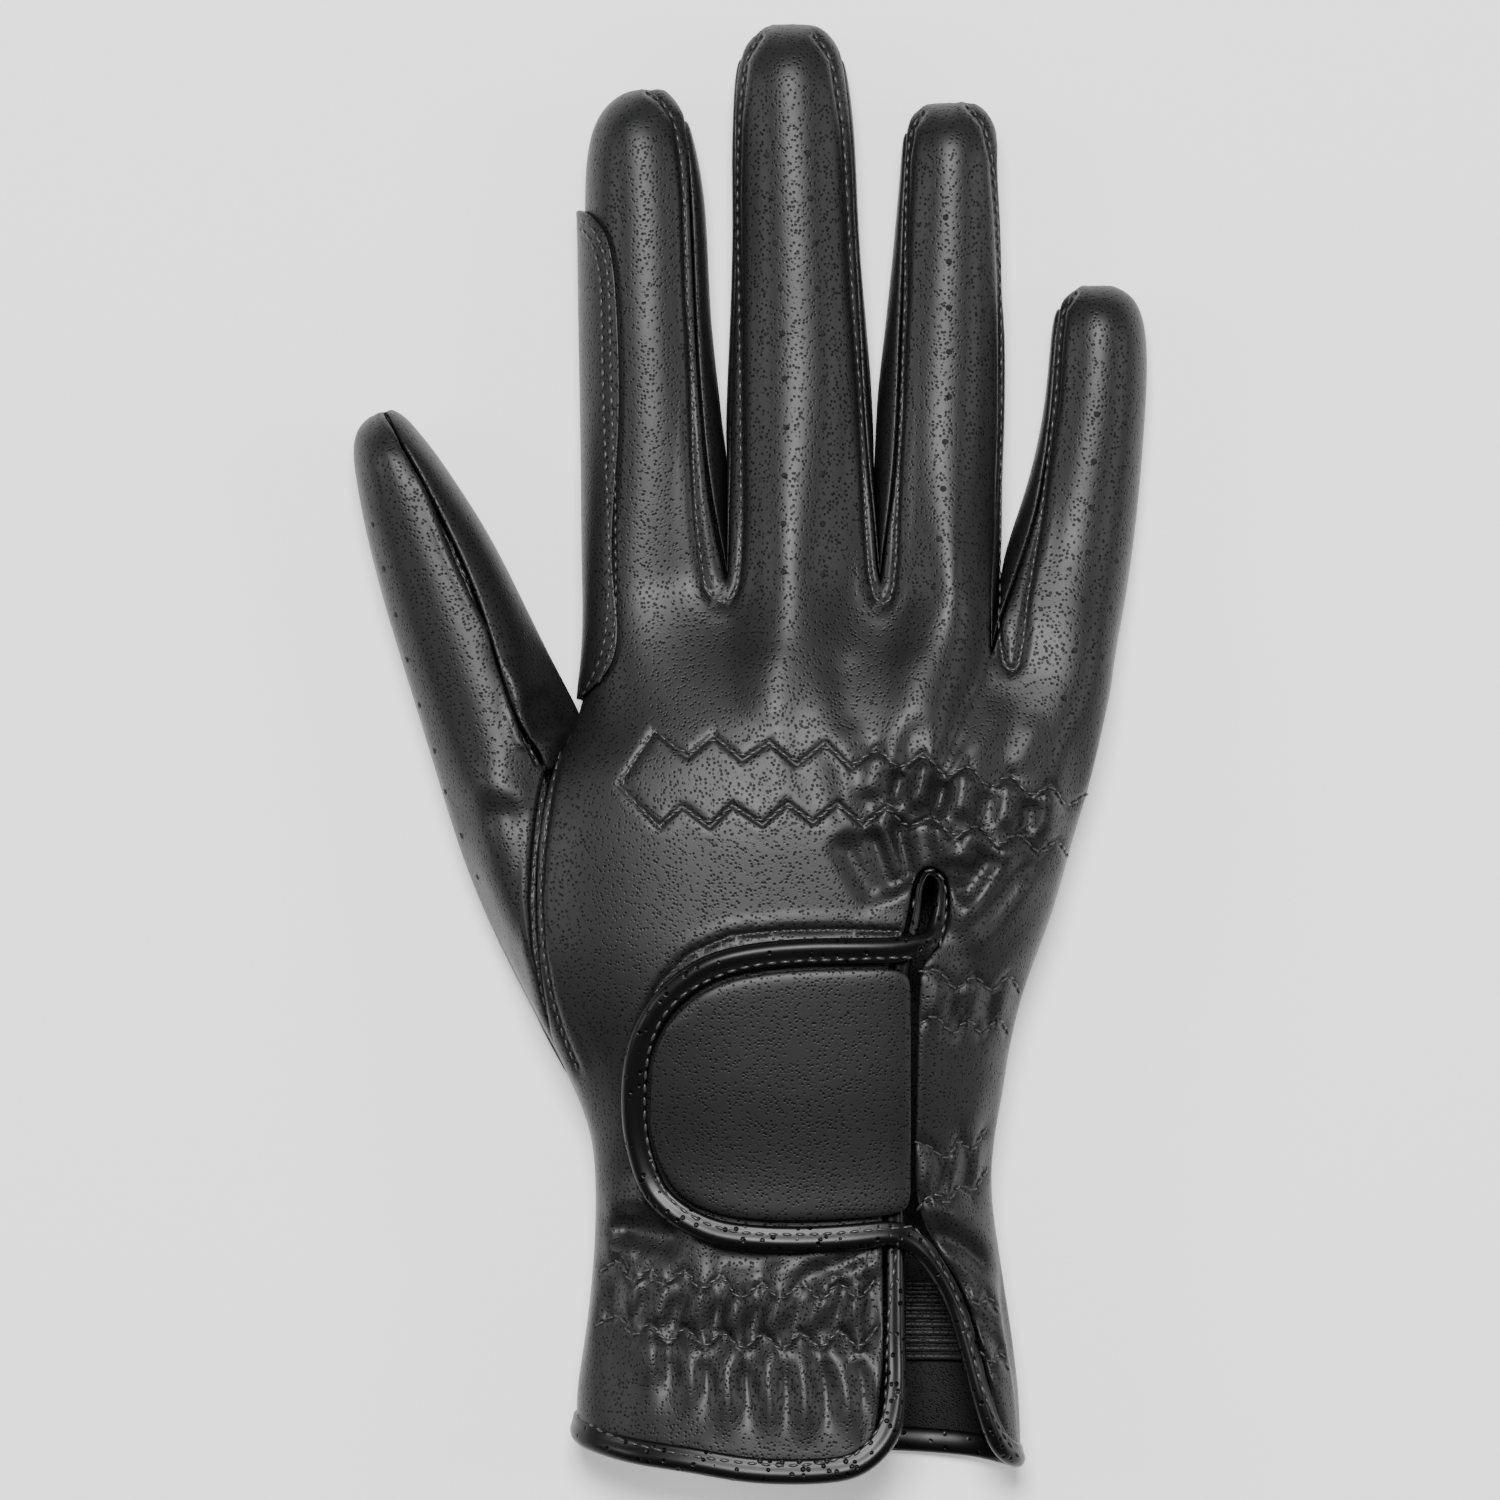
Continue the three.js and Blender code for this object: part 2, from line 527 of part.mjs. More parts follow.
/** A point on a finger whose first row is moved onto a given root, a shift that fades along it. */
function fingerPoint(finger, along, start, root, angleAt) {
  const here = onFinger(finger, along, angleAt(along));
  const base = onFinger(finger, start, angleAt(start));
  const fade = 1 - smooth((along - start) / rootBlend);
  here.point.addScaledVector(root.point.clone().sub(base.point), fade);
  here.normal.lerp(root.normal, 1 - smooth((along - start) / 0.2)).normalize();
  return here;
}

// The palm piece, read at any row and column

const lastPalmColumn = palmColumnsPerFinger * fingers.length;

/** Where the sheet turns from a flat palm to the steep web of a fork. */
const forkNormal = new THREE.Vector3(0, 0.9, -0.45).normalize();

function onPalm(share, column) {
  const across = column / lastPalmColumn;
  const y = palmLength * mix(read(palmHem, 'across', 'up', across), read(palmRoots, 'across', 'up', across), share);
  const up = y / palmLength;
  const forkX = (i) => palmWidth * mix(palmForks.hem[i], palmForks.roots[i], clamp01(up));
  const inJoint = up > 0.43 && up < 0.861;
  const joint = inJoint ? 2 * Math.PI + handAngle(y, palmWidth * read(thumbJoint, 'up', 'palm', up), true) : Math.PI;
  const jointShare = smooth((up - 0.43) / 0.12) * smooth((0.861 - up) / 0.03);
  const edge = mix(Math.PI + sideSeamAngle, joint, jointShare);
  const middle = [0, 1, 2].map((i) => 2 * Math.PI + handAngle(y, forkX(i), true));
  const angles = [edge, ...middle, 2 * Math.PI - sideSeamAngle];
  const strip = Math.min(3, Math.floor(column / palmColumnsPerFinger));
  const within = column / palmColumnsPerFinger - strip;
  const { point, normal } = onHand(y, mix(angles[strip], angles[strip + 1], within));
  const nearest = Math.round(column / palmColumnsPerFinger) * palmColumnsPerFinger;
  const atFork = nearest > 0 && nearest < lastPalmColumn ? Math.exp(-(((column - nearest) / 1.2) ** 2)) : 0;
  const reach = smooth((share - 0.88) / 0.12);
  point.z += palmForkLift * atFork * reach;
  normal.lerp(forkNormal, atFork * reach ** 3 * (column === nearest ? 1 : 0)).normalize();
  return { point, normal };
}

function onFingerPalm(index, row, column) {
  const finger = fingers[index];
  const root = onPalm(1, index * palmColumnsPerFinger + column);
  const start = (root.point.y - finger.rootY * palmLength) / finger.length;
  return fingerPoint(finger, alongOf(row, start), start, root, (along) => {
    const edges = palmEdges(finger, along);
    return mix(edges.left, edges.right, column / palmColumnsPerFinger);
  });
}

// The thumb, read at any share of its length and angle

const thumbSeamAngle = (share) => THREE.MathUtils.degToRad(mix(46, 66, smooth(share / 0.35)));
const thumbPalmSeamAngle = THREE.MathUtils.degToRad(-50);
const outerColumns = [0, 0.07, 0.14, 0.21, 0.27, 0.33, 0.39, 0.45, 0.51, 0.57, 0.65, 0.74, 0.83, 0.92, 1];
const innerColumns = [0, 0.17, 0.33, 0.5, 0.67, 0.83, 1];
const thumbRows = [0, 0.05, 0.12, 0.2, 0.29, 0.39, 0.5, 0.62, 0.74, 0.84, 0.91, 0.955, 0.985, 1];

/** The loop where the thumb is sewn into the hand, at an angle round the thumb. */
function onThumbJoint(angle) {
  const turn = (angle + 2 * Math.PI) % (2 * Math.PI);
  const palm = turn > Math.PI;
  const top = thumbJoint[0].up;
  const bottom = thumbJoint[thumbJoint.length - 1].up;
  const up = mix(top, bottom, (1 - Math.cos(turn)) / 2);
  const y = up * palmLength;
  const x = palmWidth * read(thumbJoint, 'up', palm ? 'palm' : 'back', up);
  const seam = palm ? 2 * Math.PI + handAngle(y, x, true) : handAngle(y, x);
  const share = smooth((up - bottom) / 0.12) * smooth((top - up) / 0.03);
  return onHand(y, mix(Math.PI + sideSeamAngle, seam, share));
}

/** Where the thumb's leather turns from the hand's side up the fork beside the index finger. */
const thumbForkNormal = new THREE.Vector3(0, 0.9, 0.45).normalize();
const forkFacing = 0.55;

function onThumbSheet(share, angle) {
  const joint = onThumbJoint(angle);
  joint.normal.lerp(thumbForkNormal, smooth((Math.cos(angle) - forkFacing) / (1 - forkFacing))).normalize();
  const tip = new THREE.Vector3(thumb.tipX * palmWidth, thumb.tipY * palmLength, 0);
  const axis = new THREE.Vector3(-Math.sin(thumbTurn), Math.cos(thumbTurn), 0);
  const start = 1 + joint.point.clone().sub(tip).setZ(0).dot(axis) / thumb.length;
  const along = mix(start, 1, share);
  const here = onThumb(along, angle);
  const base = onThumb(start, angle);
  here.point.addScaledVector(joint.point.clone().sub(base.point), 1 - smooth(share / 0.55));
  here.normal.lerp(joint.normal, 1 - smooth(share / 0.2)).normalize();
  here.point.z = Math.max(here.point.z, 0.05);
  return here;
}

// Sheets of leather

/** A sheet of even thickness over a net of points, closed round its free edges. */
class Sheet {
  constructor(thickness, facing = 1) {
    this.thickness = thickness;
    this.facing = facing;
    this.outer = [];
    this.inner = [];
    this.quads = [];
  }

  /** Adds a point of the sheet's outer side, set off along its normal, and returns its number. */
  point({ point, normal }, lift = 0) {
    this.outer.push(point.clone().addScaledVector(normal, lift));
    this.inner.push(point.clone().addScaledVector(normal, lift - this.thickness));
    return this.outer.length - 1;
  }

  /** Joins a grid of point numbers, as rows of columns, by squares whose diagonals mirror each other. */
  join(rows) {
    for (let r = 1; r < rows.length; r += 1) {
      for (let c = 1; c < rows[r].length; c += 1) {
        const square = [rows[r - 1][c - 1], rows[r - 1][c], rows[r][c], rows[r][c - 1]];
        if (2 * c <= rows[r].length) square.push(square.shift());
        this.quads.push(this.facing > 0 ? square : square.reverse());
      }
    }
  }

  /** Makes a grid from a function of row and column, joins it and returns its point numbers. */
  grid(rows, columns, at, lift = 0) {
    const numbers = rows.map((row) => columns.map((column) => this.point(at(row, column), lift)));
    this.join(numbers);
    return numbers;
  }

  geometry() {
    const count = this.outer.length;
    const edges = new Set(this.quads.flatMap((quad) => quad.map((a, i) => `${a},${quad[(i + 1) % 4]}`)));
    const triangles = [];
    const addSquare = (a, b, c, d) => triangles.push(a, b, c, a, c, d);
    for (const quad of this.quads) {
      const [a, b, c, d] = quad;
      addSquare(a, b, c, d);
      addSquare(d + count, c + count, b + count, a + count);
      quad.forEach((from, i) => {
        const to = quad[(i + 1) % 4];
        if (!edges.has(`${to},${from}`)) addSquare(to, from, from + count, to + count);
      });
    }
    const positions = [...this.outer, ...this.inner].flatMap((p) => [p.x, p.y, p.z]);
    return meshGeometry(positions, triangles);
  }
}

function meshGeometry(positions, triangles) {
  const geometry = new THREE.BufferGeometry();
  geometry.setAttribute('position', new THREE.Float32BufferAttribute(positions, 3));
  geometry.setIndex(triangles);
  geometry.computeVertexNormals();
  return geometry;
}

/** A strip with a rounded section swept along places that each have a point, a normal and a side. */
function sweep(places, section, closed) {
  const size = section.length;
  const positions = places.flatMap(({ point, normal, side }) =>
    section.flatMap(([out, high]) => {
      const at = point.clone().addScaledVector(side, out).addScaledVector(normal, high);
      return [at.x, at.y, at.z];
    }),
  );
  const triangles = [];
  const rings = closed ? places.length : places.length - 1;
  for (let r = 0; r < rings; r += 1) {
    for (let k = 0; k < size; k += 1) {
      const a = r * size + k;
      const b = r * size + ((k + 1) % size);
      const c = ((r + 1) % places.length) * size + ((k + 1) % size);
      const d = ((r + 1) % places.length) * size + k;
      triangles.push(a, b, c, a, c, d);
    }
  }
  if (!closed) {
    const last = (places.length - 1) * size;
    for (let k = 1; k < size - 1; k += 1) {
      triangles.push(0, k + 1, k, last, last + k, last + k + 1);
    }
  }
  return meshGeometry(positions, triangles);
}

const count = (from, to) => Array.from({ length: Math.abs(to - from) + 1 }, (_, i) => from + Math.sign(to - from) * i);

// Each panel's sheet. A seam's two edges draw back from each other by half the seam gap.

/** Moves the end points of a row or column back from a seam, towards the point beside it. */
function drawBack(edge, beside, amount = seamGap / 2) {
  const step = beside.point.clone().sub(edge.point);
  const length = Math.max(step.length(), 1e-6);
  return { point: edge.point.clone().addScaledVector(step, amount / length), normal: edge.normal };
}

function seamed(at, column, first, last) {
  const step = 0.25;
  if (column === first) return drawBack(at(first), at(first + step));
  if (column === last) return drawBack(at(last), at(last - step));
  return at(column);
}

function makeBack() {
  const sheet = new Sheet(leather);
  const last = handRows.length - 1;
  const handRow = (row, from, to, side) =>
    count(from, to).map((column) => {
      const at = (c) => onBack(handRows[row], c, side);
      const edge = column === 0 || column === lastColumn;
      return sheet.point(edge ? seamed(at, column, 0, lastColumn) : at(column));
    });
  const upper = count(slitTopRow, last).map((row) => handRow(row, 0, lastColumn, 'left'));
  const split = upper[0];
  const leftRows = count(0, slitTopRow - 1).map((row) => handRow(row, 0, slitColumn, 'left'));
  const rightRows = count(0, slitTopRow - 1).map((row) => handRow(row, slitColumn, lastColumn, 'right'));
  sheet.join([...leftRows, split.slice(0, slitColumn + 1)]);
  sheet.join([...rightRows, split.slice(slitColumn)]);
  sheet.join(upper);
  fingers.forEach((finger, index) => {
    const first = index * columnsPerFinger;
    const root = upper[upper.length - 1].slice(first, first + columnsPerFinger + 1);
    const rows = count(1, fingerRows.length - 1).map((row) =>
      count(0, columnsPerFinger).map((column) => {
        const place = seamed((c) => onFingerBack(index, row, c), column, 0, columnsPerFinger);
        place.point.z += seamGap / 2 * tipShare(row);
        return sheet.point(place);
      }),
    );
    sheet.join([root, ...rows]);
  });
  return sheet.geometry();
}

const tipShare = (row) => smooth((fingerRows[row] - 0.85) / 0.1);

function makePalm() {
  const sheet = new Sheet(leather, -1);
  const rows = palmRows.map((share) =>
    count(0, lastPalmColumn).map((column) => sheet.point(seamed((c) => onPalm(share, c), column, 0, lastPalmColumn))),
  );
  sheet.join(rows);
  fingers.forEach((finger, index) => {
    const first = index * palmColumnsPerFinger;
    const root = rows[rows.length - 1].slice(first, first + palmColumnsPerFinger + 1);
    const along = count(1, fingerRows.length - 1).map((row) =>
      count(0, palmColumnsPerFinger).map((column) => {
        const place = seamed((c) => onFingerPalm(index, row, c), column, 0, palmColumnsPerFinger);
        place.point.z -= seamGap / 2 * tipShare(row);
        return sheet.point(place);
      }),
    );
    sheet.join([root, ...along]);
  });
  return sheet.geometry();
}

/** The gap of a side strip from the leather beside it, wider near the fork where the seams meet. */
const forkGap = (row) => seamGap * mix(3, 1, smooth(row / 3));

/** The x of a row of places at one height y. */
function acrossAt(places, y) {
  const next = Math.max(1, places.findIndex((place) => place.y > y));
  const [low, high] = [places[next - 1], places[next]];
  const share = Math.min(1, Math.max(0, (y - low.y) / Math.max(high.y - low.y, 0.01)));
  return mix(low.x, high.x, share);
}

/** Space kept between the two wings of a fourchette. */
const wingGap = 0.3;

/** The side strip between two fingers: down one, round the fork and up the other. */
function makeFourchette(index) {
  const sheet = new Sheet(leather, -1);
  const across = [0, 0.34, 0.67, 1];
  const lastRow = gussetLastRow;
  const wing = (finger, row, share) => {
    const right = finger === index;
    const back = onFingerBack(finger, row, right ? columnsPerFinger : 0);
    const palm = onFingerPalm(finger, row, right ? palmColumnsPerFinger : 0);
    const shape = fingers[finger];
    const reached = ({ point }) => (point.y - shape.rootY * palmLength) / shape.length;
    const edges = right
      ? [backEdges(shape, reached(back)).right, palmEdges(shape, reached(palm)).right - 2 * Math.PI]
      : [backEdges(shape, reached(back)).left, palmEdges(shape, reached(palm)).left];
    const angle = mix(edges[0], edges[1], share);
    const side = onFinger(shape, mix(reached(back), reached(palm), share), angle);
    const top = onFinger(shape, reached(back), edges[0]);
    const base = onFinger(shape, reached(palm), edges[1]);
    side.point.addScaledVector(back.point.clone().sub(top.point), 1 - share);
    side.point.addScaledVector(palm.point.clone().sub(base.point), share);
    const towardsEdge = share < 0.5 ? back.normal : palm.normal;
    side.normal.lerp(towardsEdge, (2 * Math.abs(share - 0.5)) ** 3).normalize();
    return side;
  };
  const widest = (finger, pick) =>
    count(0, lastRow).map((row) => {
      const points = across.map((share) => wing(finger, row, share).point);
      return { y: points[1].y, x: pick(...points.map((point) => point.x)) };
    });
  const rightSide = widest(index, Math.max);
  const leftSide = widest(index + 1, Math.min);
  const half = wingGap / 2;
  /** Keeps a wing on its own side of the line midway between the two fingers. */
  const apart = (finger, row, share) => {
    const place = wing(finger, row, share);
    const middle = (acrossAt(rightSide, place.point.y) + acrossAt(leftSide, place.point.y)) / 2;
    const right = finger === index;
    const kept = right ? Math.min(place.point.x, middle - half) : Math.max(place.point.x, middle + half);
    place.point.x = mix(place.point.x, kept, smooth(Math.min(share, 1 - share) / 0.3));
    return place;
  };
  const web = (share) => {
    const a = wing(index, 0, share);
    const b = wing(index + 1, 0, share);
    const slope = new THREE.Vector3(0, 0.66, 0.75);
    const normal = a.normal.clone().add(b.normal).multiplyScalar(0.5).setX(0);
    const mid = 4 * share * (1 - share);
    return { point: a.point.clone().lerp(b.point, 0.5), normal: normal.lerp(slope, mid).normalize() };
  };
  const shares = (at, gap = seamGap) => {
    const length = at(0).point.distanceTo(at(1).point);
    const inset = Math.min(0.4, gap / Math.max(length, 0.1));
    return across.map((share) => at(mix(inset, 1 - inset, share)));
  };
  const rows = [
    ...count(lastRow, 1).map((row) => shares((share) => apart(index, row, share), forkGap(row))),
    shares(web, forkGap(0)),
    ...count(1, lastRow).map((row) => shares((share) => apart(index + 1, row, share), forkGap(row))),
  ];
  sheet.join(rows.map((row) => row.map((place) => sheet.point(place))));
  return sheet.geometry();
}

/** One half of the thumb, between two seams that run from its joint to its tip. */
function makeThumbHalf(from, to, across) {
  const sheet = new Sheet(leather, from(0) < to(0) ? -1 : 1);
  const last = across.length - 1;
  const rows = thumbRows.map((share) =>
    across.map((part, column) => {
      const at = (q) => onThumbSheet(share, mix(from(share), to(share), q));
      const back = seamGap * mix(1.2, 0.75, smooth(share / 0.2));
      const edge = column === 0 || column === last;
      const place = edge ? drawBack(at(part), at(column === 0 ? 0.03 : 0.97), back) : at(part);
      if (share > 0) return sheet.point(place);
      const angle = mix(from(0), to(0), part);
      const around = onThumbJoint(angle + 0.02).point.sub(onThumbJoint(angle - 0.02).point);
      const opening = seamGap * (angle > Math.PI ? 1.9 : 1);
      place.point.addScaledVector(around.cross(place.normal).normalize(), opening);
      return sheet.point(place);
    }),
  );
  sheet.join(rows);
  return sheet.geometry();
}

/** A place of the tab's underside on the wrist, at a share of the palm's width and length. */
function onTab(across, up) {
  const y = up * palmLength;
  return onHand(y, handAngle(y, across * palmWidth));
}

function makeTab() {
  const sheet = new Sheet(tabThickness);
  const rows = [0, 0.12, 0.3, 0.5, 0.7, 0.88, 1].map((share) =>
    tabOutline.map(({ across, top, bottom }) => {
      return sheet.point(onTab(across, mix(bottom, top, share)), tabLift + tabThickness);
    }),
  );
  sheet.join(rows);
  return sheet.geometry();
}

/** Places along the closed line that the binding follows, each on the edge of the leather it holds. */
function boundEdges() {
  const held = (place, lift, wide) => ({ ...place, lift, wide });
  const tabMiddle = tabLift + tabThickness / 2;
  const tabEdge = (column) => (row) => held(onTab(Math.min(row.across, 0.085), row[column]), tabMiddle, 1);
  const slit = (side, up) => {
    const y = up * palmLength;
    const place = onHand(y, handAngle(y, palmWidth * read(slitEdges, 'up', side, up)));
    return held(place, -leather / 2, read(slitEdges, 'up', `${side}Bound`, up));
  };
  const rising = (place, share) => ({ ...place, lift: mix(-leather / 2, tabMiddle, share) });
  const slitRows = [0.07, 0.1, 0.135, 0.17, 0.214];
  return [
    ...[...tabOutline].reverse().map(tabEdge('bottom')),
    ...tabOutline.map(tabEdge('top')),
    rising(slit('right', 0.592), 0.9),
    rising(slit('right', 0.606), 0.62),
    rising(slit('right', 0.625), 0.25),
    ...[0.65, 0.672, 0.689].map((up) => slit('right', up)),
    slit('left', 0.698),
    ...[0.689, 0.672, 0.65, 0.625, 0.6, 0.55, 0.48, 0.4, 0.32, 0.26, 0.2, 0.15, 0.11].map((up) => slit('left', up)),
    ...[23.8, 22.8, 21, 18, 15, 12, 9, 6, 3, 0.8].map((c) => held(onBack(0, c), -leather / 2, 1)),
    ...[0.6, 2, 4, 6, 8, 10, 12, 14, 15.4].map((c) => held(onPalm(0, c), -leather / 2, 1)),
    ...[31, 29, 27, 25.6, 24.3].map((c) => held(onBack(0, c, 'right'), -leather / 2, 0.95)),
    ...slitRows.map((up) => slit('right', up)),
    rising(slit('right', 0.246), 0.3),
    rising(slit('right', 0.272), 0.75),
  ];
}

/** The rounded binding: a roll on its outer side, a stitched groove and a narrow lip on the leather. */
function makeBinding() {
  const edges = boundEdges();
  const total = edges.length;
  const places = edges.map(({ point, normal, lift, wide }, i) => {
    const along = edges[(i + 1) % total].point.clone().sub(edges[(i + total - 1) % total].point);
    const side = normal.clone().cross(along).normalize();
    const centre = point.clone().addScaledVector(side, seamGap + (wide * bindingWidth) / 2);
    return { point: centre.addScaledVector(normal, lift), normal, side: side.multiplyScalar(wide) };
  });
  const curve = (key) => new THREE.CatmullRomCurve3(places.map((place) => place[key]), true, 'centripetal');
  const [points, normals, sides] = ['point', 'normal', 'side'].map(curve);
  const rings = places.flatMap((place, i) => {
    const next = places[(i + 1) % total];
    const steps = Math.max(1, Math.round(place.point.distanceTo(next.point) / bindingStep));
    return Array.from({ length: steps }, (_, k) => (i + k / steps) / total);
  });
  const half = bindingWidth / 2;
  const high = bindingHeight / 2;
  const section = bindingSection.map(({ out, up }) => [out * half, up * high]);
  const at = (t) => ({ point: points.getPoint(t), normal: normals.getPoint(t), side: sides.getPoint(t) });
  return sweep(rings.map(at), section, true);
}

/** A place on the index side, at a height on the hand and a number of columns from its side seam. */
function onIndexSide(y, column) {
  const finger = fingers[0];
  const palm = column < 0;
  const reach = Math.abs(column);
  const surface = palm ? onPalm : onBack;
  const root = surface(1, reach);
  if (y <= root.point.y) {
    const across = reach / (palm ? lastPalmColumn : lastColumn);
    const low = read(palm ? palmHem : backHem, 'across', 'up', across);
    const high = read(palm ? palmRoots : backRoots, 'across', 'up', across);
    return surface((y / palmLength - low) / (high - low), reach);
  }
  const start = (root.point.y - finger.rootY * palmLength) / finger.length;
  const along = (y - finger.rootY * palmLength) / finger.length;
  return fingerPoint(finger, along, start, root, (place) => {
    const edges = palm ? palmEdges(finger, place) : backEdges(finger, place);
    return mix(edges.left, edges.right, reach / (palm ? palmColumnsPerFinger : columnsPerFinger));
  });
}

function makePatch() {
  const sheet = new Sheet(patchThickness);
  const rows = patchRows.map(({ up, over, under }) =>
    [-1, 0, 0.33, 0.67, 1].map((share) =>
      sheet.point(onIndexSide(up * palmLength, share < 0 ? share * under : share * over), patchLift),
    ),
  );
  sheet.join(rows.reverse());
  return sheet.geometry();
}

function makeElastic() {
  const sheet = new Sheet(elasticThickness, -1);
  const { from, to, firstColumn, lastColumn: end } = elasticBand;
  const rows = [from, mix(from, to, 0.5), to].map((up) =>
    count(0, 12).map((step) => {
      const column = mix(firstColumn, end, step / 12);
      const across = column / lastPalmColumn;
      const low = read(palmHem, 'across', 'up', across);
      const share = (up - low) / (read(palmRoots, 'across', 'up', across) - low);
      return sheet.point(onPalm(share, column), -leather - liftGap);
    }),
  );
  sheet.join(rows);
  return sheet.geometry();
}

const part = new THREE.Group();
const leatherBlack = new THREE.MeshStandardMaterial({ color: 0x2a2b2c, roughness: 0.55 });

function add(name, geometry, material) {
  const mesh = new THREE.Mesh(geometry, material);
  mesh.name = name;
  part.add(mesh);
}

add('back_panel', makeBack(), leatherBlack);
add('palm_panel', makePalm(), leatherBlack);
add('fourchette_index_middle', makeFourchette(0), leatherBlack);
add('fourchette_middle_ring', makeFourchette(1), leatherBlack);
add('fourchette_ring_little', makeFourchette(2), leatherBlack);
const fullTurn = 2 * Math.PI;
add('thumb_outer', makeThumbHalf(thumbSeamAngle, () => fullTurn + thumbPalmSeamAngle, outerColumns), leatherBlack);
add('thumb_inner', makeThumbHalf(() => thumbPalmSeamAngle, thumbSeamAngle, innerColumns), leatherBlack);
add('index_patch', makePatch(), leatherBlack);
add('wrist_tab', makeTab(), leatherBlack);
add('edge_binding', makeBinding(), leatherBlack);
add('cuff_elastic', makeElastic(), leatherBlack);

// The part stands with the middle of its outline over the origin and its lowest point on the ground.
const box = new THREE.Box3().setFromObject(part);
const middle = box.getCenter(new THREE.Vector3());
part.children.forEach((mesh) => mesh.geometry.translate(-middle.x, -middle.y, -box.min.z));

export default part;
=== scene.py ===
"""A right-hand riding glove of thin black grained leather, lying palm down on a pale floor.

The leather pieces are finer versions of the frame's solids: each solid is rounded, then folded, gathered and
sewn along the lines below. Lines that follow the photograph are pixels of its 1500 x 1500 frame, and
on_photo() turns them into metres of the frame. Everything else is in metres, with +Y to the fingertips.
"""

import logging
import math
from dataclasses import dataclass, field
from enum import Enum

import bmesh
import bpy
import numpy as np
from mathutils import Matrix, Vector


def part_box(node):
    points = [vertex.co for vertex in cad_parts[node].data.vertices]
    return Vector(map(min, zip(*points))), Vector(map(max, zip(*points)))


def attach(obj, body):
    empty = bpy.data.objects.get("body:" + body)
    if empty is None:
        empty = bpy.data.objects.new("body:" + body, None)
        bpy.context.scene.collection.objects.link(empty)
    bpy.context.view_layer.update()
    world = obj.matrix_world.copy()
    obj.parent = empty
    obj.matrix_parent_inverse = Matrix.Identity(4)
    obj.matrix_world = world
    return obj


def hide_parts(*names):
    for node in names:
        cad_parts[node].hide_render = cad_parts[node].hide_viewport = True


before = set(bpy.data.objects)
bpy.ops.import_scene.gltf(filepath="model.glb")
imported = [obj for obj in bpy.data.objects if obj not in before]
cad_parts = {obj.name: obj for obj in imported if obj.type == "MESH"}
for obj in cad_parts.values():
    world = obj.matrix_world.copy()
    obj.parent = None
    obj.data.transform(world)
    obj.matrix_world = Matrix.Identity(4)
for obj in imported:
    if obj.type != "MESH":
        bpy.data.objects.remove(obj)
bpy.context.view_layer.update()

LOG = logging.getLogger("riding_glove")
BODY = "root"
DOWN = (0.0, 0.0, -1.0)
MM = 0.001
PHOTO_PIXEL = 0.15 * MM
PHOTO_CENTRE = (749.7, 750.0)
SEED = 7

# Places of the colour sockets of a Mix node, whose names its other kinds share
MIX_COLOUR_A, MIX_COLOUR_B, MIX_COLOUR_RESULT = 6, 7, 2

Line = list[tuple[float, float]]


class Slot(Enum):
    """The record's material slots."""

    LEATHER = "grained_leather"
    BINDING = "binding_leather"
    ELASTIC = "elastic"


# Stitch lines of the fingers: up one finger, round the fork and up the next
FORK_STITCHES: dict[str, Line] = {
    "index_middle": [
        (648, 92), (660, 100), (674, 120), (681, 160), (684, 200), (687, 300), (690, 340),
        (692, 400), (693, 460), (696, 520), (701, 560), (705, 588), (712, 599), (722, 603),
        (731, 600), (737, 588), (740, 560), (741, 520), (740, 400), (739, 300), (737, 200),
        (739, 120), (745, 60), (760, 36),
    ],
    "middle_ring": [
        (815, 36), (832, 60), (843, 130), (847, 200), (852, 300), (857, 360), (860, 400), (863, 470),
        (865, 520), (868, 570), (872, 592), (877, 602), (882, 605), (888, 601), (892, 590),
        (895, 560), (896, 520), (898, 460), (901, 400), (903, 340), (905, 300), (905, 240),
        (907, 160), (912, 128), (922, 112),
    ],
    "ring_little": [
        (968, 106), (984, 125), (992, 160), (997, 220), (1000, 280), (1001, 340), (1001, 420),
        (999, 480), (998, 520), (996, 580), (997, 630), (1002, 664), (1010, 672), (1017, 665),
        (1022, 640), (1026, 600), (1033, 560), (1040, 520), (1045, 480), (1050, 440), (1056, 400),
        (1059, 350), (1063, 310), (1075, 292),
    ],
}

# Zigzag stitches over the elastic bands
KNUCKLE_UPPER: Line = [
    (655, 731), (688, 757), (713, 735), (742, 760), (769, 742), (796, 765), (824, 742), (850, 768),
    (875, 747), (898, 770), (922, 752), (945, 779), (967, 762), (986, 790), (1009, 773), (1028, 798),
    (1050, 783), (1064, 808), (1085, 795),
]
KNUCKLE_LOWER: Line = [
    (660, 826), (682, 805), (710, 826), (732, 804), (762, 824), (787, 802), (812, 822), (836, 802),
    (862, 825), (885, 805), (905, 828), (930, 815), (952, 838), (975, 822), (996, 846), (1016, 830),
    (1036, 855), (1056, 838), (1070, 860),
]
KNUCKLE_END: Line = [(655, 731), (637, 758), (620, 785), (640, 806), (660, 826)]
CUFF_UPPER: Line = [
    (604, 1268), (620, 1255), (632, 1282), (652, 1262), (660, 1285), (685, 1265), (700, 1288),
    (722, 1270), (738, 1297), (762, 1278), (780, 1298), (800, 1277), (820, 1298), (838, 1277),
    (857, 1297), (872, 1278),
]
CUFF_LOWER: Line = [
    (600, 1322), (620, 1310), (632, 1335), (650, 1318), (668, 1340), (685, 1322), (705, 1345),
    (722, 1325), (742, 1347), (762, 1327), (780, 1347), (800, 1327), (820, 1345), (838, 1325),
    (858, 1345), (874, 1325),
]
